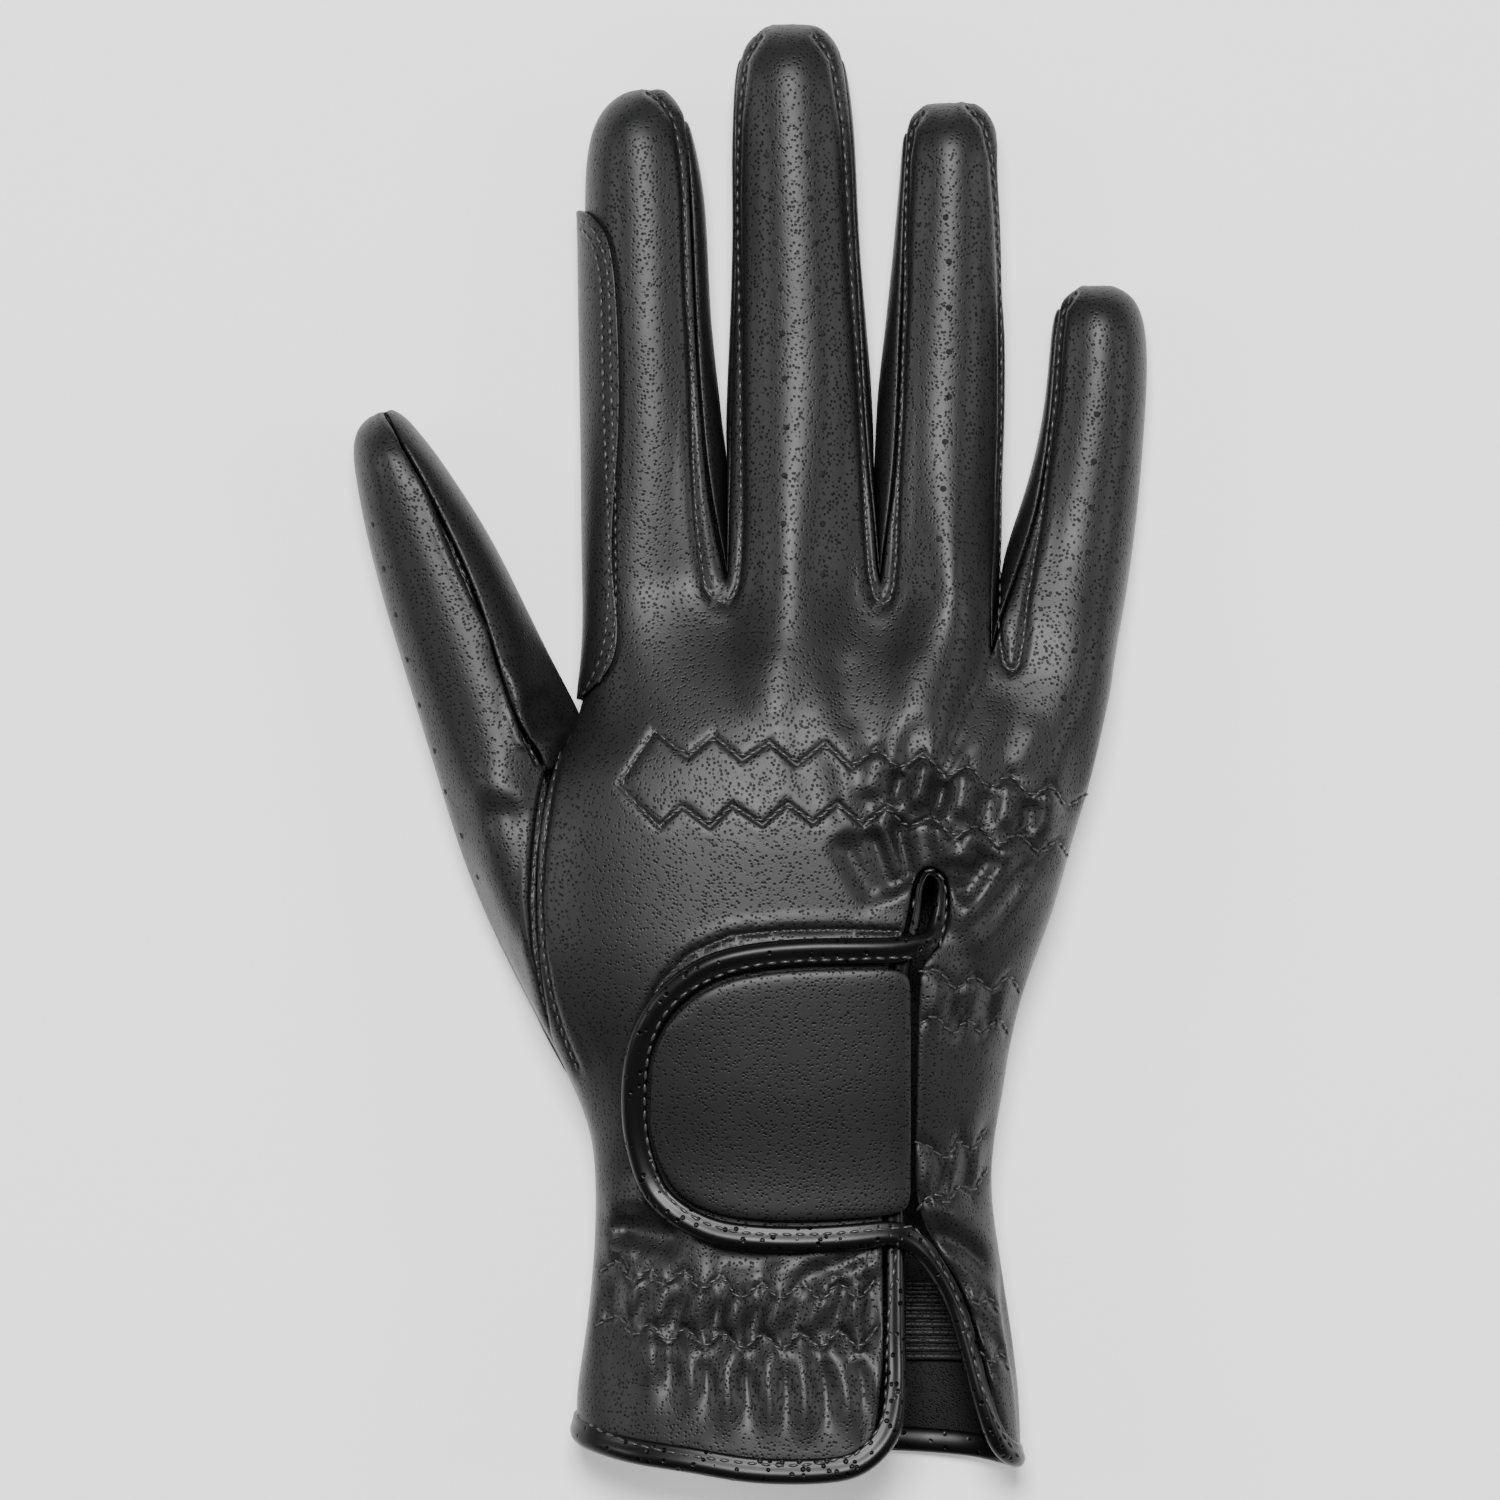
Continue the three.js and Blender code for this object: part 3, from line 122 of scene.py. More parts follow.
SIDE_ZIGZAGS: dict[str, Line] = {
    "wrist_high_a": [(917, 970), (937, 967), (953, 990), (972, 972), (990, 992), (1008, 972), (1018, 990)],
    "wrist_high_b": [
        (920, 1020), (933, 1012), (952, 1035), (966, 1015), (980, 1035), (997, 1015), (1007, 1032),
    ],
    "wrist_low_a": [(917, 1140), (928, 1143), (945, 1160), (957, 1135), (970, 1152), (983, 1130)],
    "wrist_low_b": [(917, 1205), (932, 1188), (946, 1204), (957, 1180), (971, 1192), (984, 1172)],
    "cuff_side_a": [(966, 1290), (978, 1306), (986, 1292), (996, 1308)],
    "cuff_side_b": [(978, 1346), (990, 1362), (998, 1348), (1006, 1364)],
}

# Straight stitch lines on the hand, the thumb and the patch
THUMB_JOINT: Line = [
    (548, 775), (542, 800), (535, 850), (532, 900), (535, 950), (544, 1000), (555, 1035),
    (567, 1062),
]
THUMB_JOINT_INNER: Line = [
    (572, 728), (560, 752), (552, 790), (544, 850), (541, 900), (544, 950), (553, 1000), (564, 1035),
    (577, 1066),
]
THUMB_RIDGE: Line = [
    (386, 414), (399, 428), (413, 444), (423, 462), (432, 490), (440, 512), (450, 542), (463, 572),
    (478, 602), (493, 627), (503, 642), (511, 662), (514, 684), (517, 704), (524, 734), (537, 763),
]
HOOK_PATCH: Line = [
    (896, 930), (840, 928), (780, 929), (730, 934), (690, 952), (660, 982), (640, 1022), (632, 1060),
]
PATCH_EDGE: Line = [
    (585, 216), (592, 219), (603, 233), (611, 255), (615, 280), (616, 300), (617, 350), (618, 400),
    (620, 450), (622, 500), (624, 550), (623, 600), (620, 640), (614, 665), (605, 685), (594, 705),
    (586, 720),
]
TAB_EDGE: Line = [
    (905, 965), (840, 967), (780, 969), (740, 975), (700, 992), (680, 1008), (665, 1030),
    (657, 1060), (655, 1090), (655, 1120), (660, 1150), (670, 1180), (690, 1200), (715, 1213),
    (750, 1220), (820, 1220), (870, 1216), (905, 1213),
]
SLIT_LEFT: Line = [
    (896, 1240), (892, 1270), (888, 1300), (886, 1340), (885, 1380), (883, 1410), (873, 1430),
    (856, 1446),
]
SLIT_RIGHT: Line = [
    (916, 1228), (930, 1250), (953, 1285), (966, 1330), (981, 1390), (998, 1425), (1016, 1452),
]
HEM_STITCHES: Line = [
    (580, 1416), (602, 1428), (640, 1441), (700, 1451), (760, 1458), (810, 1459), (846, 1450),
]
KEYHOLE_STITCHES: Line = [
    (912, 902), (910, 890), (914, 876), (926, 868), (938, 873), (944, 888), (944, 915), (938, 940),
]

# Perforations in pairs of rows down each finger and one row down the thumb
PERFORATIONS: dict[str, Line] = {
    "middle_left": [
        (767, 157), (772, 200), (775, 245), (780, 290), (782, 335), (784, 380), (786, 429),
        (784, 477), (783, 525), (783, 573),
    ],
    "middle_right": [
        (807, 155), (810, 200), (815, 245), (817, 290), (821, 335), (823, 380), (823, 428),
        (822, 475), (822, 525), (822, 575),
    ],
    "ring_left": [
        (945, 219), (948, 263), (948, 309), (948, 353), (948, 398), (944, 443), (942, 490),
        (938, 540), (932, 588),
    ],
    "ring_right": [
        (978, 226), (981, 267), (983, 311), (983, 357), (983, 404), (981, 448), (978, 497),
        (974, 543), (971, 591),
    ],
    "little_left": [
        (1096, 415), (1093, 462), (1090, 508), (1087, 553), (1082, 600), (1073, 651), (1062, 698),
    ],
    "little_right": [(1125, 423), (1123, 468), (1120, 514), (1116, 561), (1110, 608), (1101, 657)],
    "thumb": [
        (373, 525), (384, 569), (396, 615), (407, 660), (419, 705), (434, 751), (445, 792),
        (461, 836), (477, 877),
    ],
}


@dataclass(frozen=True)
class Fold:
    """A ridge (or a furrow, where its height is negative) along a line of the photograph."""

    line: Line
    height: float
    half_width: float


def ridges(heads: Line, feet: Line, height: float, half_width: float) -> list[Fold]:
    """Parallel ridges, one from each head to its foot.

    Args:
        heads: where the ridges start.
        feet: where they end.
        height: how high they rise, in metres.
        half_width: half their width, in metres.

    Returns:
        One fold for each pair of ends.
    """
    return [Fold([head, foot], height, half_width) for head, foot in zip(heads, feet)]


FOLDS: list[Fold] = [
    # Tension folds from the keyhole
    Fold([(892, 812), (900, 850), (908, 892)], -2.0 * MM, 1.7 * MM),
    Fold([(866, 822), (880, 858), (896, 900)], -1.7 * MM, 1.7 * MM),
    Fold([(836, 830), (856, 868), (880, 908)], -1.2 * MM, 1.9 * MM),
    Fold([(878, 815), (890, 850), (900, 888)], 1.0 * MM, 1.3 * MM),
    Fold([(931, 817), (940, 842), (949, 867)], 1.3 * MM, 1.4 * MM),
    Fold([(976, 824), (964, 846), (956, 866)], 1.3 * MM, 1.6 * MM),
    Fold([(953, 838), (950, 852), (948, 862)], -0.7 * MM, 1.1 * MM),
    Fold([(1018, 832), (985, 889), (952, 939)], 1.7 * MM, 2.3 * MM),
    Fold([(996, 848), (974, 880), (956, 905)], -1.6 * MM, 1.8 * MM),
    Fold([(1040, 862), (1000, 915), (957, 955)], 1.2 * MM, 2.4 * MM),
    Fold([(1030, 850), (1002, 893), (960, 940)], -1.3 * MM, 1.8 * MM),
    # Folds between the tab and the cuff's elastic
    Fold([(600, 1212), (620, 1203), (652, 1196)], 1.3 * MM, 2.0 * MM),
    Fold([(606, 1228), (640, 1226), (690, 1240)], -2.4 * MM, 2.6 * MM),
    Fold([(598, 1250), (616, 1244), (640, 1250)], 0.9 * MM, 1.8 * MM),
    Fold([(700, 1252), (760, 1258), (820, 1250)], -0.9 * MM, 1.8 * MM),
    Fold([(758, 1270), (800, 1256), (868, 1240)], 1.0 * MM, 1.4 * MM),
    Fold([(790, 1276), (830, 1262), (884, 1246)], -0.8 * MM, 1.0 * MM),
    Fold([(822, 1284), (850, 1268), (888, 1252)], 0.9 * MM, 1.2 * MM),
    # Folds over the little finger's side of the wrist
    Fold([(922, 1196), (960, 1214), (992, 1246), (1000, 1270)], 1.3 * MM, 2.0 * MM),
    Fold([(920, 1222), (955, 1240), (990, 1276)], -1.1 * MM, 1.5 * MM),
    Fold([(934, 1238), (966, 1262), (998, 1300)], 1.1 * MM, 1.7 * MM),
    Fold([(962, 1282), (984, 1310), (1006, 1345)], 0.9 * MM, 1.5 * MM),
    Fold([(975, 1320), (992, 1350), (1010, 1385)], 0.9 * MM, 1.5 * MM),
    Fold([(968, 1300), (986, 1330), (1006, 1362)], -0.8 * MM, 1.1 * MM),
    Fold([(986, 1362), (1000, 1395), (1014, 1430)], 0.7 * MM, 1.5 * MM),
    Fold([(1010, 1040), (1000, 1070), (985, 1110)], -0.8 * MM, 2.2 * MM),
    Fold([(1004, 1060), (980, 1100), (960, 1135)], 0.6 * MM, 2.0 * MM),
    # The thumb's joint, drawn in beside the index finger
    Fold([(508, 655), (520, 690), (524, 730), (538, 765)], 0.9 * MM, 1.4 * MM),
    Fold([(530, 690), (545, 712), (552, 740)], -1.6 * MM, 2.4 * MM),
    Fold([(470, 780), (500, 790), (540, 800)], 0.5 * MM, 2.4 * MM),
    Fold([(452, 826), (490, 812), (528, 816)], -0.5 * MM, 2.4 * MM),
    Fold([(575, 1040), (600, 1100), (605, 1160)], -0.7 * MM, 3.2 * MM),
    # Fork edges and knuckles
    Fold([(760, 640), (765, 690), (770, 730)], 0.5 * MM, 4.0 * MM),
    Fold([(905, 640), (912, 690), (925, 735)], 0.5 * MM, 3.2 * MM),
    Fold([(838, 650), (846, 700), (850, 740)], -0.5 * MM, 2.8 * MM),
    Fold([(962, 680), (960, 715), (945, 760)], -0.5 * MM, 2.0 * MM),
    Fold([(1000, 700), (990, 735), (970, 760)], 0.5 * MM, 2.0 * MM),
    Fold([(1035, 715), (1025, 745), (1010, 772)], 0.5 * MM, 1.8 * MM),
    *ridges(
        [(875, 748), (922, 755), (967, 764), (1009, 775), (1050, 785)],
        [(866, 800), (912, 812), (957, 822), (1002, 832), (1044, 842)],
        1.15 * MM,
        1.8 * MM,
    ),
    *ridges(
        [(898, 768), (945, 778), (988, 789), (1029, 797)],
        [(890, 806), (934, 818), (980, 828), (1022, 836)],
        -1.2 * MM,
        1.4 * MM,
    ),
    # Gathers between the cuff's zigzags, and below them to the hem
    *ridges(
        [(636, 1268), (668, 1272), (704, 1276), (744, 1280), (784, 1284), (824, 1282), (862, 1280)],
        [(624, 1316), (652, 1322), (684, 1326), (722, 1330), (760, 1332), (800, 1330), (838, 1328)],
        1.0 * MM,
        1.5 * MM,
    ),
    *ridges(
        [(620, 1282), (652, 1286), (686, 1290), (724, 1296), (764, 1298), (804, 1298), (843, 1297)],
        [(606, 1322), (636, 1326), (668, 1334), (704, 1340), (742, 1342), (782, 1342), (820, 1340)],
        -0.9 * MM,
        1.2 * MM,
    ),
    *ridges(
        [(650, 1330), (686, 1334), (722, 1338), (762, 1340), (800, 1340), (838, 1338), (866, 1336)],
        [(654, 1380), (692, 1402), (728, 1420), (774, 1424), (806, 1432), (852, 1424), (876, 1400)],
        1.1 * MM,
        1.9 * MM,
    ),
    *ridges(
        [(668, 1344), (704, 1348), (742, 1352), (781, 1352), (820, 1350), (854, 1350)],
        [(674, 1390), (710, 1404), (750, 1412), (790, 1418), (830, 1418), (864, 1400)],
        -1.1 * MM,
        1.5 * MM,
    ),
    # Gathers over the side bands
    *ridges(
        [(942, 974), (976, 976), (1010, 976)],
        [(932, 1024), (962, 1026), (996, 1026)],
        0.8 * MM,
        1.4 * MM,
    ),
    *ridges(
        [(956, 992), (991, 992)],
        [(950, 1030), (982, 1030)],
        -0.8 * MM,
        1.1 * MM,
    ),
    *ridges(
        [(956, 1142), (982, 1136), (932, 1150)],
        [(946, 1192), (968, 1184), (924, 1192)],
        0.8 * MM,
        1.3 * MM,
    ),
    *ridges(
        [(944, 1158), (970, 1152)],
        [(938, 1198), (962, 1192)],
        -0.8 * MM,
        1.1 * MM,
    ),
]


def on_photo(line: Line) -> np.ndarray:
    """Pixels of the photograph as metres of the frame, seen from above."""
    pixels = np.array(line, float)
    centred = (pixels - np.array(PHOTO_CENTRE)) * PHOTO_PIXEL
    return centred * np.array([1.0, -1.0])


def smoothstep(value: np.ndarray) -> np.ndarray:
    """A soft step from 0 to 1 as the value goes from 0 to 1."""
    share = np.clip(value, 0.0, 1.0)
    return share * share * (3.0 - 2.0 * share)


# The share of each side that a corner loses when it is cut
CORNER_CUT = 0.25


def rounded(line: np.ndarray, times: int = 2) -> np.ndarray:
    """A polyline with its corners cut off.

    Args:
        line: the points, one row each.
        times: how many times each corner is cut.

    Returns:
        The points of the rounder line, with the same two ends.
    """
    for _ in range(times):
        first, second = line[:-1], line[1:]
        cut = np.empty((2 * len(first), line.shape[1]))
        cut[0::2] = first * (1 - CORNER_CUT) + second * CORNER_CUT
        cut[1::2] = first * CORNER_CUT + second * (1 - CORNER_CUT)
        line = np.vstack([line[:1], cut, line[-1:]])
    return line


def nearest_on_line(points: np.ndarray, line: np.ndarray) -> tuple[np.ndarray, np.ndarray]:
    """How far points are from a polyline, and where along it.

    Args:
        points: places seen from above.
        line: the polyline's points.

    Returns:
        The distances, and the share of the line's length at which each point is nearest to it.
    """
    steps = np.diff(line, axis=0)
    lengths = np.maximum(np.linalg.norm(steps, axis=1), 1e-9)
    starts = np.concatenate([[0.0], np.cumsum(lengths)])
    best = np.full(len(points), np.inf)
    share = np.zeros(len(points))
    for index, step in enumerate(steps):
        offset = points - line[index]
        along = np.clip(offset @ step / lengths[index] ** 2, 0.0, 1.0)
        distance = np.linalg.norm(offset - along[:, None] * step, axis=1)
        closer = distance < best
        best[closer] = distance[closer]
        share[closer] = (starts[index] + along[closer] * lengths[index]) / starts[-1]
    return best, share


def near(points: np.ndarray, line: np.ndarray, reach: float) -> np.ndarray:
    """The numbers of the points inside a line's box, grown by a reach."""
    low, high = line.min(0) - reach, line.max(0) + reach
    return np.nonzero(((points > low) & (points < high)).all(1))[0]


# How many half widths a fold reaches, and the share of its length that fades at each end
FOLD_REACH = 3
FOLD_FADE = 0.25


def fold_lift(points: np.ndarray) -> np.ndarray:
    """How far the folds lift the leather at places seen from above.

    Args:
        points: the places, one row each.

    Returns:
        The lift at each place, in metres.
    """
    lift = np.zeros(len(points))
    for fold in FOLDS:
        line = rounded(on_photo(fold.line))
        inside = near(points, line, FOLD_REACH * fold.half_width)
        distance, share = nearest_on_line(points[inside], line)
        ends = smoothstep(share / FOLD_FADE) * smoothstep((1 - share) / FOLD_FADE)
        lift[inside] += fold.height * ends * np.exp(-((distance / fold.half_width) ** 2))
    return lift


# Pieces


def placed(name: str, mesh: bpy.types.Mesh, slot: Slot, *nodes: str) -> bpy.types.Object:
    """Links a finished mesh as a piece of the glove.

    Args:
        name: the piece's name.
        mesh: its mesh, in place in the frame.
        slot: the record's slot meant for its finish; not used.
        nodes: the solids that it stands for.

    Returns:
        The piece.
    """
    piece = bpy.data.objects.new(name, mesh)
    bpy.context.scene.collection.objects.link(piece)
    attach(piece, BODY)
    if nodes:
        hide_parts(*nodes)
    LOG.info("%s: %d faces", name, len(mesh.polygons))
    return piece


def coordinates(mesh: bpy.types.Mesh) -> np.ndarray:
    """A mesh's points, one row each."""
    flat = np.empty(len(mesh.vertices) * 3)
    mesh.vertices.foreach_get("co", flat)
    return flat.reshape(-1, 3)


def point_normals(mesh: bpy.types.Mesh) -> np.ndarray:
    """A mesh's normals at its points, one row each."""
    flat = np.empty(len(mesh.vertices) * 3)
    mesh.vertex_normals.foreach_get("vector", flat)
    return flat.reshape(-1, 3)


# How far up a normal has to point: where faces are divided, where grooves start, and over how much they
# reach their depth; then where a face shows the lining
FACING_UP = 0.1
SEWN_FROM = 0.05
SEWN_OVER = 0.2
LINED_FROM = 0.12

# Flatness of two triangles, and squareness of their sides, for them to be joined to a square
JOIN_ANGLE = math.radians(50)
JOIN_SHAPE_ANGLE = math.radians(60)
WELD = 0.001 * MM


@dataclass
class SewnSheet:
    """A leather piece made from its solid: rounded, folded, then grooved along its stitch lines."""

    node: str
    name: str
    finish: "Finish"
    slot: Slot = Slot.LEATHER
    levels: int = 2
    seams: list[Line] = field(default_factory=list)
    zigzags: list[Line] = field(default_factory=list)
    folded: bool = False
    fine_levels: int = 2
    groove_depth: float = 0.42 * MM
    groove_width: float = 0.42 * MM
    shoulder: float = 0.22 * MM
    shoulder_reach: float = 1.25 * MM
    zigzag_depth: float = 0.3 * MM
    zigzag_width: float = 0.45 * MM
    zigzag_shoulder: float = 0.2
    groove_edge: float = 0.5
    shoulder_width: float = 0.7 * MM
    fine_reach: float = 1.2 * MM
    seam_reach: float = 4 * MM
    hem_reach: float = 0.0
    hem_start: float = -95 * MM
    hem_fade: float = 5 * MM
    still_height: float = 5 * MM
    fold_fade: float = 5 * MM
    lining: "Finish | None" = None

    def rounded_solid(self) -> bpy.types.Mesh:
        """The solid's surface as squares, rounded by subdivision.

        Returns:
            A new mesh, in place in the frame.
        """
        shape = bmesh.new()
        shape.from_mesh(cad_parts[self.node].data)
        bmesh.ops.remove_doubles(shape, verts=shape.verts, dist=WELD)
        bmesh.ops.join_triangles(
            shape,
            faces=shape.faces,
            angle_face_threshold=JOIN_ANGLE,
            angle_shape_threshold=JOIN_SHAPE_ANGLE,
        )
        mesh = bpy.data.meshes.new(self.name)
        shape.to_mesh(mesh)
        shape.free()
        base = bpy.data.objects.new(self.name + "_base", mesh)
        bpy.context.scene.collection.objects.link(base)
        rounder = base.modifiers.new("rounder", "SUBSURF")
        rounder.levels = self.levels
        rounder.render_levels = self.levels
        graph = bpy.context.evaluated_depsgraph_get()
        finished = bpy.data.meshes.new_from_object(base.evaluated_get(graph))
        bpy.data.objects.remove(base)
        finished.name = self.name
        return finished

    def refine(self, mesh: bpy.types.Mesh) -> None:
        """Divides the faces close to a stitch line, so that its groove is sharp.

        Args:
            mesh: the piece's mesh, changed in place.
        """
        lines = [on_photo(line) for line in self.seams + self.zigzags]
        for _ in range(self.fine_levels):
            shape = bmesh.new()
            shape.from_mesh(mesh)
            points = np.array([vertex.co[:] for vertex in shape.verts])
            up = np.array([vertex.normal.z for vertex in shape.verts])
            close = np.zeros(len(points), bool)
            for line in lines:
                inside = near(points[:, :2], line, self.fine_reach)
                distance, _ = nearest_on_line(points[inside, :2], line)
                close[inside] |= distance < self.fine_reach
            close &= up > FACING_UP
            shape.verts.ensure_lookup_table()
            chosen = [edge for edge in shape.edges if all(close[vertex.index] for vertex in edge.verts)]
            bmesh.ops.subdivide_edges(shape, edges=chosen, cuts=1, use_grid_fill=True)
            shape.to_mesh(mesh)
            shape.free()

    def reach_hem(self, mesh: bpy.types.Mesh) -> None:
        """Draws the leather's hem on, into its binding.

        Args:
            mesh: the piece's mesh, changed in place.
        """
        points = coordinates(mesh)
        points[:, 1] -= self.hem_reach * smoothstep((self.hem_start - points[:, 1]) / self.hem_fade)
        mesh.vertices.foreach_set("co", points.ravel())
        mesh.update()

    def fold(self, mesh: bpy.types.Mesh) -> None:
        """Lifts the leather along its folds, both of its sides alike.

        Args:
            mesh: the piece's mesh, changed in place.
        """
        points = coordinates(mesh)
        weight = smoothstep((points[:, 2] - self.still_height) / self.fold_fade)
        points[:, 2] += fold_lift(points[:, :2]) * weight
        mesh.vertices.foreach_set("co", points.ravel())
        mesh.update()

    def sew(self, mesh: bpy.types.Mesh) -> None:
        """Presses a groove along each stitch line, with a soft shoulder on its two sides.

        Args:
            mesh: the piece's mesh, changed in place.
        """
        points = coordinates(mesh)
        normals = point_normals(mesh)
        outer = smoothstep((normals[:, 2] - SEWN_FROM) / SEWN_OVER)
        depth = np.zeros(len(points))
        for lines, deep, wide, shoulder in (
            (self.seams, self.groove_depth, self.groove_width, self.shoulder),
            (self.zigzags, self.zigzag_depth, self.zigzag_width, self.zigzag_shoulder * self.shoulder),
        ):
            for pixels in lines:
                line = on_photo(pixels)
                inside = near(points[:, :2], line, self.seam_reach)
                distance, _ = nearest_on_line(points[inside, :2], line)
                groove = deep * np.exp(-((distance / wide) ** 2))
                beyond = (distance - self.shoulder_reach) / self.shoulder_width
                raised = shoulder * np.exp(-(beyond**2))
                depth[inside] = np.where(groove > depth[inside], groove, depth[inside])
                depth[inside] -= raised * (groove < self.groove_edge * deep)
        points -= normals * (depth * outer)[:, None]
        mesh.vertices.foreach_set("co", points.ravel())
        mesh.update()

    def dress(self, mesh: bpy.types.Mesh) -> None:
        """Gives the mesh its finish, and its lining on the faces that look up inside the glove.

        Args:
            mesh: the piece's mesh, changed in place.
        """
        mesh.materials.clear()
        mesh.materials.append(self.finish.material())
        mesh.shade_smooth()
        if self.lining is None:
            return
        mesh.materials.append(self.lining.material())
        for face in mesh.polygons:
            face.material_index = int(face.normal.z > LINED_FROM)

    def build(self) -> bpy.types.Object:
        """Makes the piece and puts it in place of its solid.

        Returns:
            The piece.
        """
        mesh = self.rounded_solid()
        self.reach_hem(mesh)
        if self.seams or self.zigzags:
            self.refine(mesh)
        if self.folded:
            self.fold(mesh)
        if self.seams or self.zigzags:
            self.sew(mesh)
        self.dress(mesh)
        return placed(self.name, mesh, self.slot, self.node)


# Finishes


def node_of(tree: bpy.types.NodeTree, kind: str, **inputs: object) -> bpy.types.Node:
    """Adds a node and sets its named inputs.

    Args:
        tree: the node tree.
        kind: the node's type.
        inputs: values by socket name, with spaces written as underscores.

    Returns:
        The new node.
    """
    made = tree.nodes.new(kind)
    for key, value in inputs.items():
        made.inputs[key.replace("_", " ")].default_value = value
    return made


# Noise that bends the rows of pits, how far it moves them, and the size of a pit's flat floor
BEND_SCALE = 700.0
BEND_REACH = 0.35 * MM
PIT_FLOOR = 0.12


def grain_group() -> bpy.types.NodeTree:
    """The leather's grain: small pits between rounded pebbles, and broad soft unevenness.

    Returns:
        A shader node group, built once, that puts out a height and a mask of the pits; the mask also places
        the painted shade in the pits.
    """
    known = bpy.data.node_groups.get("pebble_grain")
    if known:
        return known
    tree = bpy.data.node_groups.new("pebble_grain", "ShaderNodeTree")
    for name, value in (("Scale", 1650.0), ("Pit Size", 0.42), ("Wear Scale", 90.0)):
        socket = tree.interface.new_socket(name=name, in_out="INPUT", socket_type="NodeSocketFloat")
        socket.default_value = value
    for name in ("Height", "Pits", "Wear"):
        tree.interface.new_socket(name=name, in_out="OUTPUT", socket_type="NodeSocketFloat")
    entry = tree.nodes.new("NodeGroupInput")
    leave = tree.nodes.new("NodeGroupOutput")
    place = tree.nodes.new("ShaderNodeTexCoord")
    bend = node_of(tree, "ShaderNodeTexNoise", Scale=BEND_SCALE, Detail=1.0)
    shift = tree.nodes.new("ShaderNodeVectorMath")
    shift.operation = "MULTIPLY_ADD"
    shift.inputs[1].default_value = (BEND_REACH, BEND_REACH, BEND_REACH)
    cells = node_of(tree, "ShaderNodeTexVoronoi", Randomness=0.85)
    cells.feature = "F1"
    pits = tree.nodes.new("ShaderNodeMapRange")
    pits.interpolation_type = "SMOOTHSTEP"
    pits.inputs["To Min"].default_value = 1.0
    pits.inputs["To Max"].default_value = 0.0
    pits.inputs["From Min"].default_value = PIT_FLOOR
    broad = node_of(tree, "ShaderNodeTexNoise", Detail=3.0)
    height = tree.nodes.new("ShaderNodeMath")
    height.operation = "SUBTRACT"
    link = tree.links.new
    link(place.outputs["Object"], bend.inputs["Vector"])
    link(bend.outputs["Color"], shift.inputs[0])
    link(place.outputs["Object"], shift.inputs[2])
    link(shift.outputs["Vector"], cells.inputs["Vector"])
    link(entry.outputs["Scale"], cells.inputs["Scale"])
    link(cells.outputs["Distance"], pits.inputs["Value"])
    link(entry.outputs["Pit Size"], pits.inputs["From Max"])
    link(place.outputs["Object"], broad.inputs["Vector"])
    link(entry.outputs["Wear Scale"], broad.inputs["Scale"])
    link(broad.outputs["Fac"], height.inputs[0])
    link(pits.outputs["Result"], height.inputs[1])
    link(height.outputs["Value"], leave.inputs["Height"])
    link(pits.outputs["Result"], leave.inputs["Pits"])
    link(broad.outputs["Fac"], leave.inputs["Wear"])
    return tree


@dataclass(frozen=True)
class Finish:
    """A black finish of the glove: its colour, a painted shade that darkens the grain's pits, its gloss and
    the pattern of its surface.
    """

    name: str
    colour: tuple[float, float, float]
    # Painted shade: the darker colour given to the grain's pits
    pit_shade_colour: tuple[float, float, float]
    roughness: tuple[float, float]
    bump: float
    grain_scale: float = 1650.0
    pit_size: float = 0.45
    grain_depth: float = 0.07 * MM
    specular: float = 0.5
    pit_shine: float = 0.3

    def material(self) -> bpy.types.Material:
        """The material, made on first use.

        Returns:
            The material that has this finish.
        """
        known = bpy.data.materials.get(self.name)
        if known:
            return known
        made = bpy.data.materials.new(self.name)
        made.use_nodes = True
        tree = made.node_tree
        shader = tree.nodes["Principled BSDF"]
        grain = tree.nodes.new("ShaderNodeGroup")
        grain.node_tree = grain_group()
        grain.inputs["Scale"].default_value = self.grain_scale
        grain.inputs["Pit Size"].default_value = self.pit_size
        colour = tree.nodes.new("ShaderNodeMix")
        colour.data_type = "RGBA"
        colour.inputs[MIX_COLOUR_A].default_value = (*self.colour, 1.0)
        colour.inputs[MIX_COLOUR_B].default_value = (*self.pit_shade_colour, 1.0)
        shine = tree.nodes.new("ShaderNodeMapRange")
        shine.inputs["To Min"].default_value = self.specular
        shine.inputs["To Max"].default_value = self.specular * self.pit_shine
        gloss = tree.nodes.new("ShaderNodeMapRange")
        gloss.inputs["To Min"].default_value = self.roughness[0]
        gloss.inputs["To Max"].default_value = self.roughness[1]
        bump = node_of(tree, "ShaderNodeBump", Strength=self.bump, Distance=self.grain_depth)
        link = tree.links.new
        # The pits' mask blends in the pit colour, which is painted shade in the grain's pits
        link(grain.outputs["Pits"], colour.inputs[0])
        link(colour.outputs[MIX_COLOUR_RESULT], shader.inputs["Base Color"])
        link(grain.outputs["Pits"], shine.inputs["Value"])
        link(shine.outputs["Result"], shader.inputs["Specular IOR Level"])
        link(grain.outputs["Wear"], gloss.inputs["Value"])
        link(gloss.outputs["Result"], shader.inputs["Roughness"])
        link(grain.outputs["Height"], bump.inputs["Height"])
        link(bump.outputs["Normal"], shader.inputs["Normal"])
        return made
